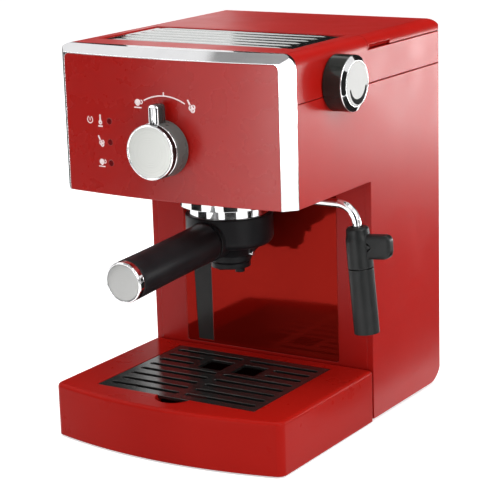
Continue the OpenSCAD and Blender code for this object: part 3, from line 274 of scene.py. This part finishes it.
BASIN_LOW, BASIN_HIGH = place((-67, 26.5, 6)), place((67, 130.5, 38.8))
CAP_CENTRE = (0, -25, 142.2)
CHROME = (0.8, 0.8, 0.81)
finishes = {
    # the red body
    "housing": gloss_shell("moulded_red_housing", (0.32, 0.005, 0.003), (0.36, 0.007, 0.0045), (0.29, 0.35),
                           gloss=0.2),
    "panel": gloss_shell("smooth_red_panel", (0.32, 0.004, 0.002), (0.35, 0.005, 0.003), (0.25, 0.3),
                         gloss=0.5),
    "niche": lacquered_metal("lacquered_red_niche", (0.21, 0.006, 0.003), (0.24, 0.008, 0.004), (0.05, 0.09),
                             metal=0.52),
    # the tray's near-black tone is painted shade for the basin under the grid
    "tray": basin_shell("moulded_red_tray", (0.3, 0.006, 0.0035), (0.33, 0.008, 0.005), (0.012, 0.002, 0.002),
                        BASIN_LOW, BASIN_HIGH, (0.26, 0.34)),
    # bright plating and steel
    "bezel": polished_metal("plated_bezel", CHROME, (0.06, 0.1)),
    "knob": polished_metal("plated_knob", CHROME, (0.05, 0.09)),
    "wand": polished_metal("plated_wand", CHROME, (0.05, 0.08)),
    "group": polished_metal("plated_group", (0.76, 0.76, 0.77), (0.05, 0.09)),
    "screws": polished_metal("screw_steel", (0.6, 0.6, 0.6), (0.2, 0.3)),
    "brass": polished_metal("machined_brass", (0.72, 0.5, 0.2), (0.25, 0.35)),
    "copper": polished_metal("pipe_copper", (0.75, 0.4, 0.25), (0.25, 0.35)),
    "plate": brushed_metal("warming_plate_steel", (0.5, 0.51, 0.5), (0.66, 0.67, 0.66), (2, 90, 90),
                           (0.07, 0.13)),
    "steel": brushed_metal("plain_steel", *greys(0.45, 0.6), (1, 1, 60)),
    "casting": brushed_metal("cast_aluminium", *greys(0.4, 0.55), (40, 40, 40), (0.45, 0.6)),
    "grid": brushed_metal("drip_grid_steel", (0.065, 0.065, 0.063), (0.12, 0.12, 0.117), (3, 60, 60),
                          (0.14, 0.22), metal=0.85),
    # knobs and their faces
    "selector_side": smoked_plating("grey_selector_side", (0.075, 0.082, 0.078), 0.0, (0.25, 0.35), 0.25),
    "pointer_side": smoked_plating("dark_pointer_side", (0.03, 0.036, 0.035), 0.1, (0.15, 0.22), 0.3),
    "steam_side": smoked_plating("black_steam_side", (0.022, 0.024, 0.022), 0.35, (0.07, 0.12), 0.5),
    "black_gloss": smoked_plating("black_knob_band", (0.008, 0.009, 0.009), 0.1, (0.08, 0.14), 0.3),
    "selector_face": spun_face("selector_face", (0.6, 0.61, 0.58), (0.69, 0.7, 0.67), place(SELECTOR), "Y"),
    "steam_face": spun_face("steam_face", (0.5, 0.5, 0.49), (0.57, 0.57, 0.56), place(STEAM), "X",
                            (0.5, 0.6), metal=0.0, gloss=0.1),
    "cap_face": spun_face("cap_face", (0.35, 0.35, 0.345), (0.43, 0.43, 0.42), place(CAP_CENTRE), "Y"),
    "print": satin_mould("dial_print", (0.82, 0.66, 0.66), (0.88, 0.74, 0.74), (0.4, 0.5)),
    # one dark tone for the steam knob's crescent and for the painted reflection on its ring
    "marks_and_painted_reflection": satin_mould("dark_crescent_and_painted_reflection", *greys(0.004, 0.008), (0.5, 0.6), gloss=0.05),
    "lamp": gloss_shell("lamp_lens", (0.1, 0.002, 0.003), (0.15, 0.004, 0.006), (0.1, 0.16)),
    # dark plastics and rubber
    "handle": satin_mould("handle_plastic", (0.007, 0.007, 0.008), (0.012, 0.012, 0.013), (0.28, 0.38),
                          edge=0.0012, gloss=0.1),
    "frother": satin_mould("frother_plastic", (0.009, 0.01, 0.01), (0.014, 0.015, 0.015), (0.3, 0.4),
                           gloss=0.2),
    "base": satin_mould("base_plastic", (0.012, 0.012, 0.013), (0.022, 0.022, 0.024)),
    "rubber": satin_mould("foot_rubber", *greys(0.01, 0.02), (0.6, 0.8)),
    # the tank and what lies inside
    "window": smoked_strip("smoked_window", (0.03, 0.03, 0.029), (0.007, 0.007, 0.007)),
    "tank": cloudy_clear("tank_plastic", (0.6, 0.63, 0.66), 0.6),
    "switch": satin_mould("switch_plastic", (0.6, 0.57, 0.45), (0.7, 0.67, 0.55)),
    "board": satin_mould("board_laminate", (0.02, 0.12, 0.035), (0.03, 0.17, 0.05)),
    "hose": satin_mould("silicone_hose", (0.55, 0.55, 0.5), (0.65, 0.65, 0.6)),
}
WORN_BY = {
    "housing": "left_side right_side column_shell back_shell top_housing tank_lid",
    "panel": "front_panel",
    "niche": "niche_panel",
    "tray": "drip_tray",
    "bezel": "front_bezel",
    "knob": "selector_knob steam_knob handle_cap",
    "wand": "steam_tube",
    "group": "group_ring filter_holder valve_pin",
    "screws": "base_screws shower_screw boiler_screws hinge_pins handle_stud",
    "brass": "steam_stem steam_valve swivel_socket pump",
    "copper": "steam_pipes",
    "plate": "cup_plate",
    "steel": "selector_shaft shower_screen filter_basket",
    "casting": "boiler boiler_cover",
    "grid": "drip_grid",
    "selector_face": "selector_disc",
    "steam_face": "steam_knob_disc",
    "lamp": "lamp_lenses",
    "handle": "portafilter_body handle spout thermostats pump_coil switch_case power_rocker cord_gland",
    "frother": "frother_grip frother_sleeve",
    "base": "base_plate tank_dock tank_valve",
    "rubber": "rubber_feet pump_mounts group_gasket",
    "window": "level_window",
    "tank": "water_tank",
    "switch": "selector_switch",
    "board": "lamp_board control_board",
    "hose": "suction_hose pressure_hose",
}
for finish, names in WORN_BY.items():
    for name in names.split():
        for held in nodes[name].material_slots:
            held.material = finishes[finish]


# ---- surfaces --------------------------------------------------------------
TURNS = 128


def patch(points, close_u=False, close_v=False, ends=False):
    """A surface through a grid of points [u, v, xyz], as its points, its faces' corners and where each
    face starts: each four neighbours make one face, close_u and close_v sew the last row or column to
    the first, and with ends the first and the last row are each closed by a fan round its middle."""
    rows, cols = points.shape[:2]
    number = np.arange(rows * cols).reshape(rows, cols)
    if close_u:
        number = np.concatenate([number, number[:1]], 0)
    if close_v:
        number = np.concatenate([number, number[:, :1]], 1)
    quads = np.stack([number[:-1, :-1], number[1:, :-1], number[1:, 1:], number[:-1, 1:]], -1).reshape(-1, 4)
    corners, sizes, loose = [quads.reshape(-1)], [np.full(len(quads), 4)], points.reshape(-1, 3)
    if ends:
        first, last = number[0], number[-1]
        fans = [np.stack([np.full(len(first) - 1, len(loose)), first[:-1], first[1:]], -1),
                np.stack([np.full(len(last) - 1, len(loose) + 1), last[1:], last[:-1]], -1)]
        corners += [fan.reshape(-1) for fan in fans]
        sizes += [np.full(len(fan), 3) for fan in fans]
        loose = np.concatenate([loose, points[[0, -1]].mean(1)])
    size = np.concatenate(sizes)
    return loose, np.concatenate(corners), np.concatenate([[0], np.cumsum(size)[:-1]])


def made_of(name, *patches):
    """One smooth-shaded object of several patches, whose numbers go on from one patch to the next."""
    points, corners, starts = zip(*patches)
    past_points = np.cumsum([0] + [len(p) for p in points])
    past_corners = np.cumsum([0] + [len(c) for c in corners])
    corner = np.concatenate([c + n for c, n in zip(corners, past_points)])
    start = np.concatenate([s + n for s, n in zip(starts, past_corners)])
    mesh = bpy.data.meshes.new(name)
    mesh.vertices.add(int(past_points[-1]))
    mesh.vertices.foreach_set("co", np.concatenate(points).reshape(-1).astype(np.float32))
    mesh.loops.add(len(corner))
    mesh.loops.foreach_set("vertex_index", corner.astype(np.int32))
    mesh.polygons.add(len(start))
    mesh.polygons.foreach_set("loop_start", start.astype(np.int32))
    mesh.polygons.foreach_set("use_smooth", np.full(len(start), True))
    mesh.update(calc_edges=True)
    made = bpy.data.objects.new(name, mesh)
    bpy.context.scene.collection.objects.link(made)
    return made


def dress(name, finish, body, node, slot, *patches):
    """A dressed piece of closed patches, fixed to its body and in place of its node; the slot is not used."""
    piece = made_of(name, *patches)
    piece.data.materials.append(finishes[finish])
    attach(piece, body)
    if node:
        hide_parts(node)


def eased(corners, reach, closed=False, steps=5):
    """Rounds a line's corners: each corner P becomes the curve (1-t)^2 A + 2t(1-t) P + t^2 B between
    the points A and B at the given reach along its two sides, with one more point beyond each."""
    corners = np.asarray(corners, float)
    reach = np.broadcast_to(reach, len(corners))
    before, after = np.roll(corners, 1, 0) - corners, np.roll(corners, -1, 0) - corners
    a_len, b_len = np.linalg.norm(before, axis=1), np.linalg.norm(after, axis=1)
    near = np.minimum(reach, 0.38 * np.minimum(a_len, b_len))[:, None]
    a, b = before / a_len[:, None] * near, after / b_len[:, None] * near
    t = np.linspace(0, 1, steps)[None, :, None]
    curve = corners[:, None] + (1 - t) ** 2 * a[:, None] + t ** 2 * b[:, None]
    lead, trail = (corners[:, None] + 1.25 * way[:, None] for way in (a, b))
    curve = np.concatenate([lead, curve, trail], 1)
    if closed:
        return curve.reshape(-1, corners.shape[1])
    return np.concatenate([corners[:1], curve[1:-1].reshape(-1, corners.shape[1]), corners[-1:]])


def lathe(profile, centre, axis, closed=False):
    """A turned piece: the profile's (radius, distance) pairs go once round the axis through centre."""
    profile = np.asarray(profile, float)
    axis = np.asarray(axis, float) / np.linalg.norm(axis)
    first = np.cross(axis, (0.3, 0.2, 1) if abs(axis[2]) < 0.9 else (1, 0, 0))
    first /= np.linalg.norm(first)
    second = np.cross(axis, first)
    a = np.linspace(0, 2 * math.pi, TURNS, endpoint=False)
    ring = np.cos(a)[:, None] * first + np.sin(a)[:, None] * second
    points = np.asarray(centre) + profile[:, None, :1] * ring[None] + profile[:, None, 1:] * axis
    return patch(place(points), close_u=closed, close_v=True, ends=not closed)


def domed(radius, foot_radius, foot, top, fall):
    """A turned face's profile: flat at the foot, and domed above it, where the height is the top less
    the fall times the fourth power of the share of the radius."""
    q = np.linspace(0, 1, 24)[::-1]
    dome = np.stack([radius * q, top - fall * q ** 4], -1)[:-1]
    return np.concatenate([[[0.01, foot], [foot_radius, foot]], dome])


def slab(outline, rows, lift):
    """A plate with a rounded edge: the closed outline [n, xyz] is drawn in along its own inward normals
    by each row's inset and moved along lift by the same row's height."""
    along = np.roll(outline, -1, 0) - np.roll(outline, 1, 0)
    inward = np.cross(lift, along)
    inward /= np.linalg.norm(inward, axis=1)[:, None]
    inset, height = np.asarray(rows, float).T[:, :, None, None]
    return patch(place(outline[None] + inset * inward[None] + height * lift), close_v=True, ends=True)


# ---- printed marks ---------------------------------------------------------
PRINT_HEIGHT = 0.14
ARC_R, ARC_W = 37.2, 1.05
SIGN_R, SIGN_TURN = 38.5, 36.5
# Signs beside the lamps: how far their middles stand to the left of the lamps
LAMP_SIGN_OFF, HEAT_SIGN_OFF, POWER_SIGN_OFF = 8.8, 8.6, 18.5


def stroke(line, width, on_surface, height=PRINT_HEIGHT, samples=36):
    """A printed stroke: a flat oval as wide as width carried along the line, with round ends where
    the oval shrinks as the square root of one minus the square of the way left to its full width."""
    line, width = np.asarray(line, float), np.atleast_1d(width)
    run = np.concatenate([[0], np.cumsum(np.linalg.norm(np.diff(line, axis=0), axis=1))])
    s = run[-1] * (0.5 - 0.5 * np.cos(np.linspace(0.04, math.pi - 0.04, samples)))
    flat = np.stack([np.interp(s, run, line[:, 0]), np.interp(s, run, line[:, 1])], -1)
    half = np.interp(s / run[-1], np.linspace(0, 1, len(width)), width) / 2
    ahead = np.gradient(flat, axis=0)
    ahead /= np.linalg.norm(ahead, axis=1)[:, None]
    across = np.stack([-ahead[:, 1], ahead[:, 0]], -1)
    inside = np.clip(np.minimum(s, run[-1] - s) / half, 0, 1)
    grow = np.sqrt(np.clip(1 - (1 - inside) ** 2, 0.02, 1))
    a = np.linspace(0, 2 * math.pi, 12, endpoint=False)
    flat = flat[:, None] + (half * grow)[:, None, None] * np.cos(a)[None, :, None] * across[:, None]
    out = height * np.sin(a)[None] * grow[:, None]
    return patch(place(on_surface(flat, out)), close_v=True, ends=True)


def on_panel(flat, out):
    """Panel millimetres (X, Z) to plan points: the depth is the bow's arc, and out lifts them off it."""
    x, z = flat[..., 0], flat[..., 1]
    return np.stack([x, BOW_Y + BOW_R - np.sqrt(BOW_R ** 2 - x ** 2) - out, z], -1)


def arc(centre, radius, start, stop, samples=40):
    """Points of a circle from start to stop, in degrees clockwise from straight up."""
    a = np.radians(np.linspace(start, stop, samples))
    return np.stack([centre[0] + radius * np.sin(a), centre[1] + radius * np.cos(a)], -1)


def sign(x, z, size, lines=(), rings=()):
    """A small sign on the panel, in shares of its size round (x, z): straight lines given by their
    points and width, and rings given by their middle, radius, start, stop and width."""
    c = np.array([x, z])
    marks = [stroke(arc(c + size * np.array(middle), size * radius, start, stop), size * width, on_panel)
             for middle, radius, start, stop, width in rings]
    return marks + [stroke(c + size * np.array(points), size * np.array(width), on_panel)
                    for points, width in lines]


def cup_sign(x, z, size):
    """Cup: a wide bowl that narrows to its foot, a ring for its handle and a saucer."""
    return sign(x, z, size, rings=[((0.54, 0.14), 0.22, -20, 200, 0.16)],
                lines=[([(0, 0.5), (0, -0.42)], [1.0, 1.02, 0.95, 0.5]),
                       ([(-0.62, -0.6), (0.62, -0.6)], 0.18)])


def steam_sign(x, z, size):
    """Steam: a slanting pipe that ends in a round puff of three loops."""
    loops = ((-0.02, -0.14), (0.22, -0.04), (0.17, -0.32))
    return sign(x, z, size, rings=[(loop, 0.17, 0, 350, 0.17) for loop in loops],
                lines=[([(-0.36, 0.62), (-0.08, 0.1)], 0.2)])


def heat_sign(x, z, size):
    """Thermometer: a stem with a bulb and a short line under it."""
    return sign(x, z, size, rings=[((0, -0.2), 0.17, 0, 350, 0.2)],
                lines=[([(0, 0.7), (0, -0.2)], [0.22, 0.22, 0.4]), ([(-0.34, -0.62), (0.34, -0.62)], 0.18)])


def power_sign(x, z, size):
    """Power: an open ring with an upright line in its gap."""
    return sign(x, z, size, rings=[((0, 0), 0.5, 24, 336, 0.17)], lines=[([(0, 0.34), (0, -0.16)], 0.17)])


def panel_print():
    """The dial's arc with its middle tick, the two settings' signs and the signs beside the lamps."""
    middle, z = SELECTOR[[0, 2]], SELECTOR[2]
    cup_at, steam_at = arc(middle, SIGN_R, -SIGN_TURN, SIGN_TURN, 2)
    marks = [stroke(arc(middle, ARC_R, -28, 29, 90), ARC_W, on_panel, samples=80),
             stroke(arc(middle, ARC_R, 0, 0, 2) + [[0, -0.6], [0, 2.8]], 1.1, on_panel)]
    marks += cup_sign(*cup_at, 5.6) + steam_sign(*steam_at, 7.8)
    marks += power_sign(LAMP_X - POWER_SIGN_OFF, z + LAMP_PITCH, 5.0)
    marks += heat_sign(LAMP_X - HEAT_SIGN_OFF, z + LAMP_PITCH, 6.6)
    marks += steam_sign(LAMP_X - LAMP_SIGN_OFF, z, 7.0)
    marks += cup_sign(LAMP_X - LAMP_SIGN_OFF, z - LAMP_PITCH, 5.2)
    dress("panel_print", "print", "housing", None, "panel_red", *marks)


# ---- knobs -----------------------------------------------------------------
def selector_pieces():
    """The selector: a grey-plated drum, a bright bead, a black band and a bright rim, a face domed as
    the fourth power of the radius, and a pointer whose front bulges as one minus the cube of the way out."""
    r, d, back = SELECTOR_R, SELECTOR_D, SELECTOR_D - SELECTOR_LIP
    core = r - 3
    on_knob = ("selector", "selector_knob", "knob_chrome")
    drum = eased([(0, 0.1), (r - 0.05, 0.1), (r - 0.3, back - 1.4), (r - 0.9, back - 0.7),
                  (r - 1.0, back - 0.3), (0, back - 0.3)], 0.4)
    dress("selector_drum", "selector_side", *on_knob, lathe(drum, SELECTOR, FORWARD))
    bead = [(core, back - 0.4), (r - 0.9, back - 0.4), (r - 0.4, back), (r - 0.4, back + 0.5),
            (r - 0.9, back + 0.9), (core, back + 0.9)]
    band = [(core, back + 0.7), (r - 0.7, back + 0.7), (r - 0.6, back + 2.4), (r - 0.7, d - 0.9),
            (core, d - 0.9)]
    rim = [(core, d - 1.2), (r - 0.9, d - 1.2), (r - 0.5, d - 0.8), (r - 1.0, d - 0.1), (r - 1.5, d - 0.05),
           (r - 1.9, d - 0.5), (core, d - 0.7)]
    for name, finish, line in (("selector_bead", "knob", bead), ("selector_band", "black_gloss", band),
                               ("selector_rim", "knob", rim)):
        dress(name, finish, *on_knob, lathe(eased(line, 0.3, closed=True), SELECTOR, FORWARD, closed=True))
    dome = domed(r - 1.95, r - 2.4, d - 1.2, d - 0.2, 0.35)
    dress("selector_dome", "selector_face", "selector", "selector_disc", "knob_satin",
          lathe(dome, SELECTOR, FORWARD))

    half_width, root, tip, tip_ease = 4.4, 14.0, 33.0, 3.4
    line = eased([(-half_width, root), (half_width, root), (half_width, tip), (-half_width, tip)],
                 [1, 1, tip_ease, tip_ease], closed=True, steps=8)
    outline = SELECTOR + np.stack([line[:, 0], np.zeros(len(line)), line[:, 1]], -1)
    base = 0.2 * d
    body = [(0.5, base), (0, base + 0.5), (0, back - 1.6), (0.2, back - 1.2)]
    dress("pointer_body", "pointer_side", *on_knob, slab(outline, body, FORWARD))
    out = np.linspace(0, 0.88, 9)
    bulge = np.stack([0.1 + 3.6 * out, back - 0.9 + 1.7 * (1 - (1 - out) ** 3)], -1)
    front = np.concatenate([[(0.7, back - 1.6), (0.15, back - 1.3), (0.1, back - 1.0)], bulge])
    dress("pointer_front", "knob", *on_knob, slab(outline, front, FORWARD))


def steam_knob_pieces():
    """The steam knob: a black-plated drum, a bright ring bevelled in a straight cone, and a face that
    sinks to its rim by (r/R)^4, with a dark crescent on it and a painted reflection, a dark band, on the
    ring."""
    r, d = STEAM_R, STEAM_D
    wide, inner, lip, fall, bevel = r - 0.45, r - 4.6, 0.4, 0.4, 2.2
    middle = STEAM[[1, 2]]
    on_knob = ("steam_control", "steam_knob", "knob_chrome")
    on_disc = ("steam_control", "steam_knob_disc", "knob_satin")
    drum = eased([(0, 0), (r - 0.1, 0), (r - 0.4, d - 2.9), (r - 1.2, d - 2.6), (0, d - 2.6)], 0.4)
    dress("steam_drum", "steam_side", *on_knob, lathe(drum, STEAM, RIGHT))
    ring = eased([(r - 6, d - 2.8), (wide, d - 2.9), (wide, d - 2.3), (inner + lip, d - 0.1),
                  (inner, d - 0.15), (inner - 0.5, d - 1.2)], 0.4, closed=True)
    dress("steam_ring", "knob", *on_knob, lathe(ring, STEAM, RIGHT, closed=True))
    dress("steam_dome", "steam_face", *on_disc,
          lathe(domed(inner - 0.3, inner - 0.6, d - 1.6, d - 0.1, fall), STEAM, RIGHT))

    def on_face(flat, out):
        """Face millimetres (Y, Z) to plan points: the depth follows the dome, and beyond it the cone."""
        away = np.linalg.norm(flat - middle, axis=-1)
        cone = np.clip((away - inner - lip) / (wide - inner - lip), 0, 1)
        sunk = fall * (np.minimum(away, inner) / inner) ** 4 * (away < inner) + bevel * cone
        return np.stack([STEAM[0] + d - 0.12 - sunk + out, flat[..., 0], flat[..., 1]], -1)

    crescent = stroke(arc(middle + [1.6, -1.4], 11.6, 262, 95, 60), [1.6, 2.8, 4.2, 3.8, 2.6], on_face,
                      samples=60)
    # A painted reflection: a dark band on the bright ring where the plating would mirror something dark
    painted_reflection_bar = stroke(arc(middle, 18.0, 250, 306), [3.0, 3.2, 3.0], on_face, 0.2, samples=60)
    dress("steam_marks", "marks_and_painted_reflection", *on_disc, crescent, painted_reflection_bar)


# ---- cup plate -------------------------------------------------------------
def pressed_plate():
    """The cup plate: a closed profile across its depth, flat below, above it six ribs with the height
    of a raised cosine to the power 0.6; the ribs die out over 9 mm at both ends of the sheet."""
    ribs, sheet, rib_height, rim, fade_run, roll = 6, 0.8, 0.65, 6.0, 9.0, 0.35
    low = BODY_H - 1.5
    y = np.linspace(PLATE_Y0, PLATE_Y1, 220)
    phase = (y - PLATE_Y0) / (PLATE_Y1 - PLATE_Y0) * ribs % 1
    ridge = np.clip(np.cos((phase - 0.5) * 2 * math.pi), 0, 1) ** 0.6
    x = PLATE_HALF_W * np.sin(np.linspace(-1, 1, 90) * math.pi / 2)
    fade = np.clip((PLATE_HALF_W - rim - np.abs(x)) / fade_run, 0, 1)
    fade = fade * fade * (3 - 2 * fade)
    edge = roll * np.clip(1 - (PLATE_HALF_W - np.abs(x)) / sheet, 0, 1) ** 2
    top = low + sheet + rib_height * fade[:, None] * ridge[None] - edge[:, None]
    under_y = np.linspace(PLATE_Y1, PLATE_Y0, 40)
    z = np.concatenate([top, np.full((len(x), len(under_y)), low)], 1)
    depth = np.broadcast_to(np.concatenate([y, under_y]), z.shape)
    points = np.stack([np.broadcast_to(x[:, None], z.shape), depth, z], -1)
    dress("pressed_cup_plate", "plate", "housing", "cup_plate", "plate_steel",
          patch(place(points), close_v=True, ends=True))


# ---- frother ---------------------------------------------------------------
def frother_pieces():
    """The frother's grip: a turned body that swells to its shoulder, and a thumb tab whose half
    thickness falls as the fourth root of one minus the fourth power of the way to its outline."""
    bore, shoulder, foot = 4.2, 1.7, 31.9
    grip = eased([(bore, shoulder), (6.6, shoulder), (8.3, 3.2), (8.5, 7.2), (9.3, 11), (9.4, foot),
                  (8.6, foot), (bore, foot)], 1.4, closed=True)
    tab_top, tab_foot, tab_inset, tab_half = 7.5, 25.5, 3.4, 4.0
    line = eased([(0.0, tab_top), (27.0, tab_top), (26.2, tab_foot), (0.0, tab_foot)], [0.5, 5.5, 7, 0.5],
                 closed=True, steps=14)
    outline = WAND + line[:, :1] * WAND_OUT + line[:, 1:] * WAND_DOWN
    side = np.linspace(-1, 1, 21)
    rows = np.stack([tab_inset * (1 - (1 - side ** 4) ** 0.25), tab_half * side], -1)
    dress("moulded_grip", "frother", "wand", "frother_grip", "frother_black",
          lathe(grip, WAND, WAND_DOWN, closed=True), slab(outline, rows, -FORWARD))


# ---- portafilter handle ----------------------------------------------------
def handle_pieces():
    """The handle: a turned grip whose radius is 15 mm less a waist of one half sine wave, and a plated
    cap with a rolled rim round a satin face."""
    on_cap = ("portafilter", "handle_cap", "knob_chrome")
    waist, grip_start, grip_run, bore, stud_room = 0.35, 34.6, 97.4, 3.1, 6.1
    t = np.linspace(0, 1, 40)
    grip = np.concatenate([[[bore, 34.1], [14.2, 34.1]],
                           np.stack([HANDLE_R - waist * np.sin(t * math.pi), grip_start + grip_run * t], -1),
                           [[14.6, 132.8], [stud_room, 132.8], [stud_room, 128.2], [bore, 128.2]]])
    dress("turned_handle", "handle", "portafilter", "handle", "handle_black",
          lathe(grip, HANDLE, HANDLE_OUT, closed=True))
    rim = eased([(5.0, 128.4), (5.85, 128.4), (5.85, 133.1), (14.9, 133.1), (14.95, 137.4), (14.6, 138.4),
                 (14.0, 138.9), (13.5, 138.7), (13.3, 137.9), (5.0, 137.2)], 0.35, closed=True)
    dress("cap_rim", "knob", *on_cap, lathe(rim, HANDLE, HANDLE_OUT, closed=True))
    dress("cap_face", "cap_face", *on_cap, lathe(domed(13.2, 12.6, 137.0, 138.8, 0.6), HANDLE, HANDLE_OUT))


panel_print()
selector_pieces()
steam_knob_pieces()
pressed_plate()
frother_pieces()
handle_pieces()


# ---- studio ----------------------------------------------------------------
FLOOR_GLOW = 0.56
AMBIENT = 0.4


def studio_floor():
    """A pale sheet that curves up behind the machine: flat, then a quarter circle, then upright."""
    t = np.linspace(0, 1, 60)
    near, far, bend, rise, half_width = -6.0, 3.0, 1.0, 3.0, 6.0
    flat_end, bend_end = 0.5, 0.8
    turned = np.clip((t - flat_end) / (bend_end - flat_end), 0, 1) * math.pi / 2
    y = np.where(t < flat_end, near + (far - near) * t / flat_end, far + bend * np.sin(turned))
    z = bend * (1 - np.cos(turned)) + rise * np.clip((t - bend_end) / (1 - bend_end), 0, 1)
    x = np.linspace(-half_width, half_width, 3)[:, None]
    sheet = made_of("studio_floor", patch(np.stack(np.broadcast_arrays(x, y[None], z[None]), -1)))
    f = Finish("studio_paper")
    f.set(Base_Color=f.tint(f.noise(3), *greys(0.84, 0.86)), Roughness=0.9, Emission_Color=(1, 1, 1, 1),
          Emission_Strength=f.reckon("MULTIPLY", f.straight_rays(), FLOOR_GLOW))
    sheet.data.materials.append(f.material)


def dark_card(name, points, dark=0.015):
    """A dark card for the plating to mirror, which only glossy rays meet."""
    card = made_of(name, patch(points))
    f = Finish(name)
    f.set(Base_Color=f.tint(f.noise(4), *greys(dark * 0.7, dark)), Roughness=0.8, Specular_IOR_Level=0.0)
    glossy = f.node("ShaderNodeLightPath").outputs["Is Glossy Ray"]
    clear = f.node("ShaderNodeBsdfTransparent").outputs[0]
    mixed = f.node("ShaderNodeMixShader", [(0, glossy), (1, clear), (2, f.shader.outputs[0])]).outputs[0]
    f.feed(f.tree.nodes["Material Output"].inputs["Surface"], mixed)
    card.data.materials.append(f.material)


def wall_card(bearings, reach, low, high):
    """Part of an upright cylinder round the machine, from low to high: bearings are in degrees from
    straight ahead towards the right."""
    a, z = np.radians(np.linspace(*bearings, 13))[:, None], np.array([[low, high]])
    return np.stack(np.broadcast_arrays(reach * np.sin(a), -reach * np.cos(a), z), -1)


def level_card(xs, ys, z):
    """A level rectangle, from the first to the second of xs and of ys."""
    return np.stack(np.broadcast_arrays(np.array(xs)[:, None], np.array(ys)[None], z), -1)


def soft_light(name, where, aim, size, power):
    lamp = bpy.data.lights.new(name, "AREA")
    lamp.shape, lamp.size, lamp.size_y, lamp.energy = "RECTANGLE", *size, power
    holder = bpy.data.objects.new(name, lamp)
    holder.location, holder.visible_camera = where, False
    holder.rotation_euler = (Vector(aim) - Vector(where)).to_track_quat("-Z", "Y").to_euler()
    bpy.context.scene.collection.objects.link(holder)


studio_floor()
for name, bearings, reach in (("card_front", (-64, -34), 0.66), ("card_camera", (18, 50), 0.66),
                              ("card_left", (-136, -108), 0.7), ("card_right", (83, 101), 0.7)):
    dark_card(name, wall_card(bearings, reach, 0.003, 0.5))
dark_card("card_side", level_card((0.11, 0.62), (0.02, 0.9), 0.002))
dark_card("card_back", wall_card((-146.5, -215), 1.5, 0.35, 1.5))
dark_card("card_top", level_card((-0.7, 0.5), (-0.9, 0.7), 1.5), 0.5)

# The small low boxes are mirrored as soft hazes by the panel and by the side wall
soft_light("overhead_box", (0.1, -0.2, 1.9), (0, 0, 0.1), (1.6, 1.6), 29)
soft_light("left_box", (-1.5, -0.9, 1.6), (0, 0, 0.15), (0.9, 1.4), 9)
soft_light("right_box", (1.9, -0.4, 1.2), (0, 0, 0.15), (1.0, 1.4), 27)
soft_light("low_front_box", (-0.1, -0.98, 0.13), (0.05, -0.1, 0.25), (0.22, 0.2), 0.9)
soft_light("low_side_box", (0.66, 1.18, 0.13), (0.1, 0.15, 0.27), (0.3, 0.24), 3.2)

# The world is white to straight and mirrored sight, and dimmer as a light
world = bpy.data.worlds.new("studio")
world.use_nodes = True
bpy.context.scene.world = world
sky = Nodes(world.node_tree)
sky_level = sky.node("ShaderNodeMapRange", [("Value", sky.straight_rays()), ("To Min", AMBIENT)]).outputs[0]
backdrop = sky.tree.nodes["Background"].inputs
sky.feed(backdrop["Color"], (1, 1, 1, 1))
sky.feed(backdrop["Strength"], sky_level)

# ---- camera ----------------------------------------------------------------
IMAGE_SIDE, FOCAL = 496, 1800                    # in pixels
SENSOR = 36                                      # in millimetres
CAMERA = (725.7, -1003.7, 465.3)
YAW, PITCH, ROLL = math.radians(-32.61), math.radians(13.96), math.radians(-1.77)
forward = Vector((math.sin(YAW) * math.cos(PITCH), math.cos(YAW) * math.cos(PITCH), -math.sin(PITCH)))
across = Vector((math.cos(YAW), -math.sin(YAW), 0))
upright = across.cross(forward)
side = across * math.cos(ROLL) + upright * math.sin(ROLL)
top = -across * math.sin(ROLL) + upright * math.cos(ROLL)
lens = bpy.data.cameras.new("studio_camera")
lens.sensor_width = lens.sensor_height = SENSOR
lens.lens, lens.clip_end = FOCAL / IMAGE_SIDE * SENSOR, 20
camera = bpy.data.objects.new("studio_camera", lens)
camera.matrix_world = Matrix.Translation(place(CAMERA)) @ Matrix((side, top, -forward)).transposed().to_4x4()
bpy.context.scene.collection.objects.link(camera)
bpy.context.scene.camera = camera

bpy.context.scene.view_settings.view_transform = "Standard"
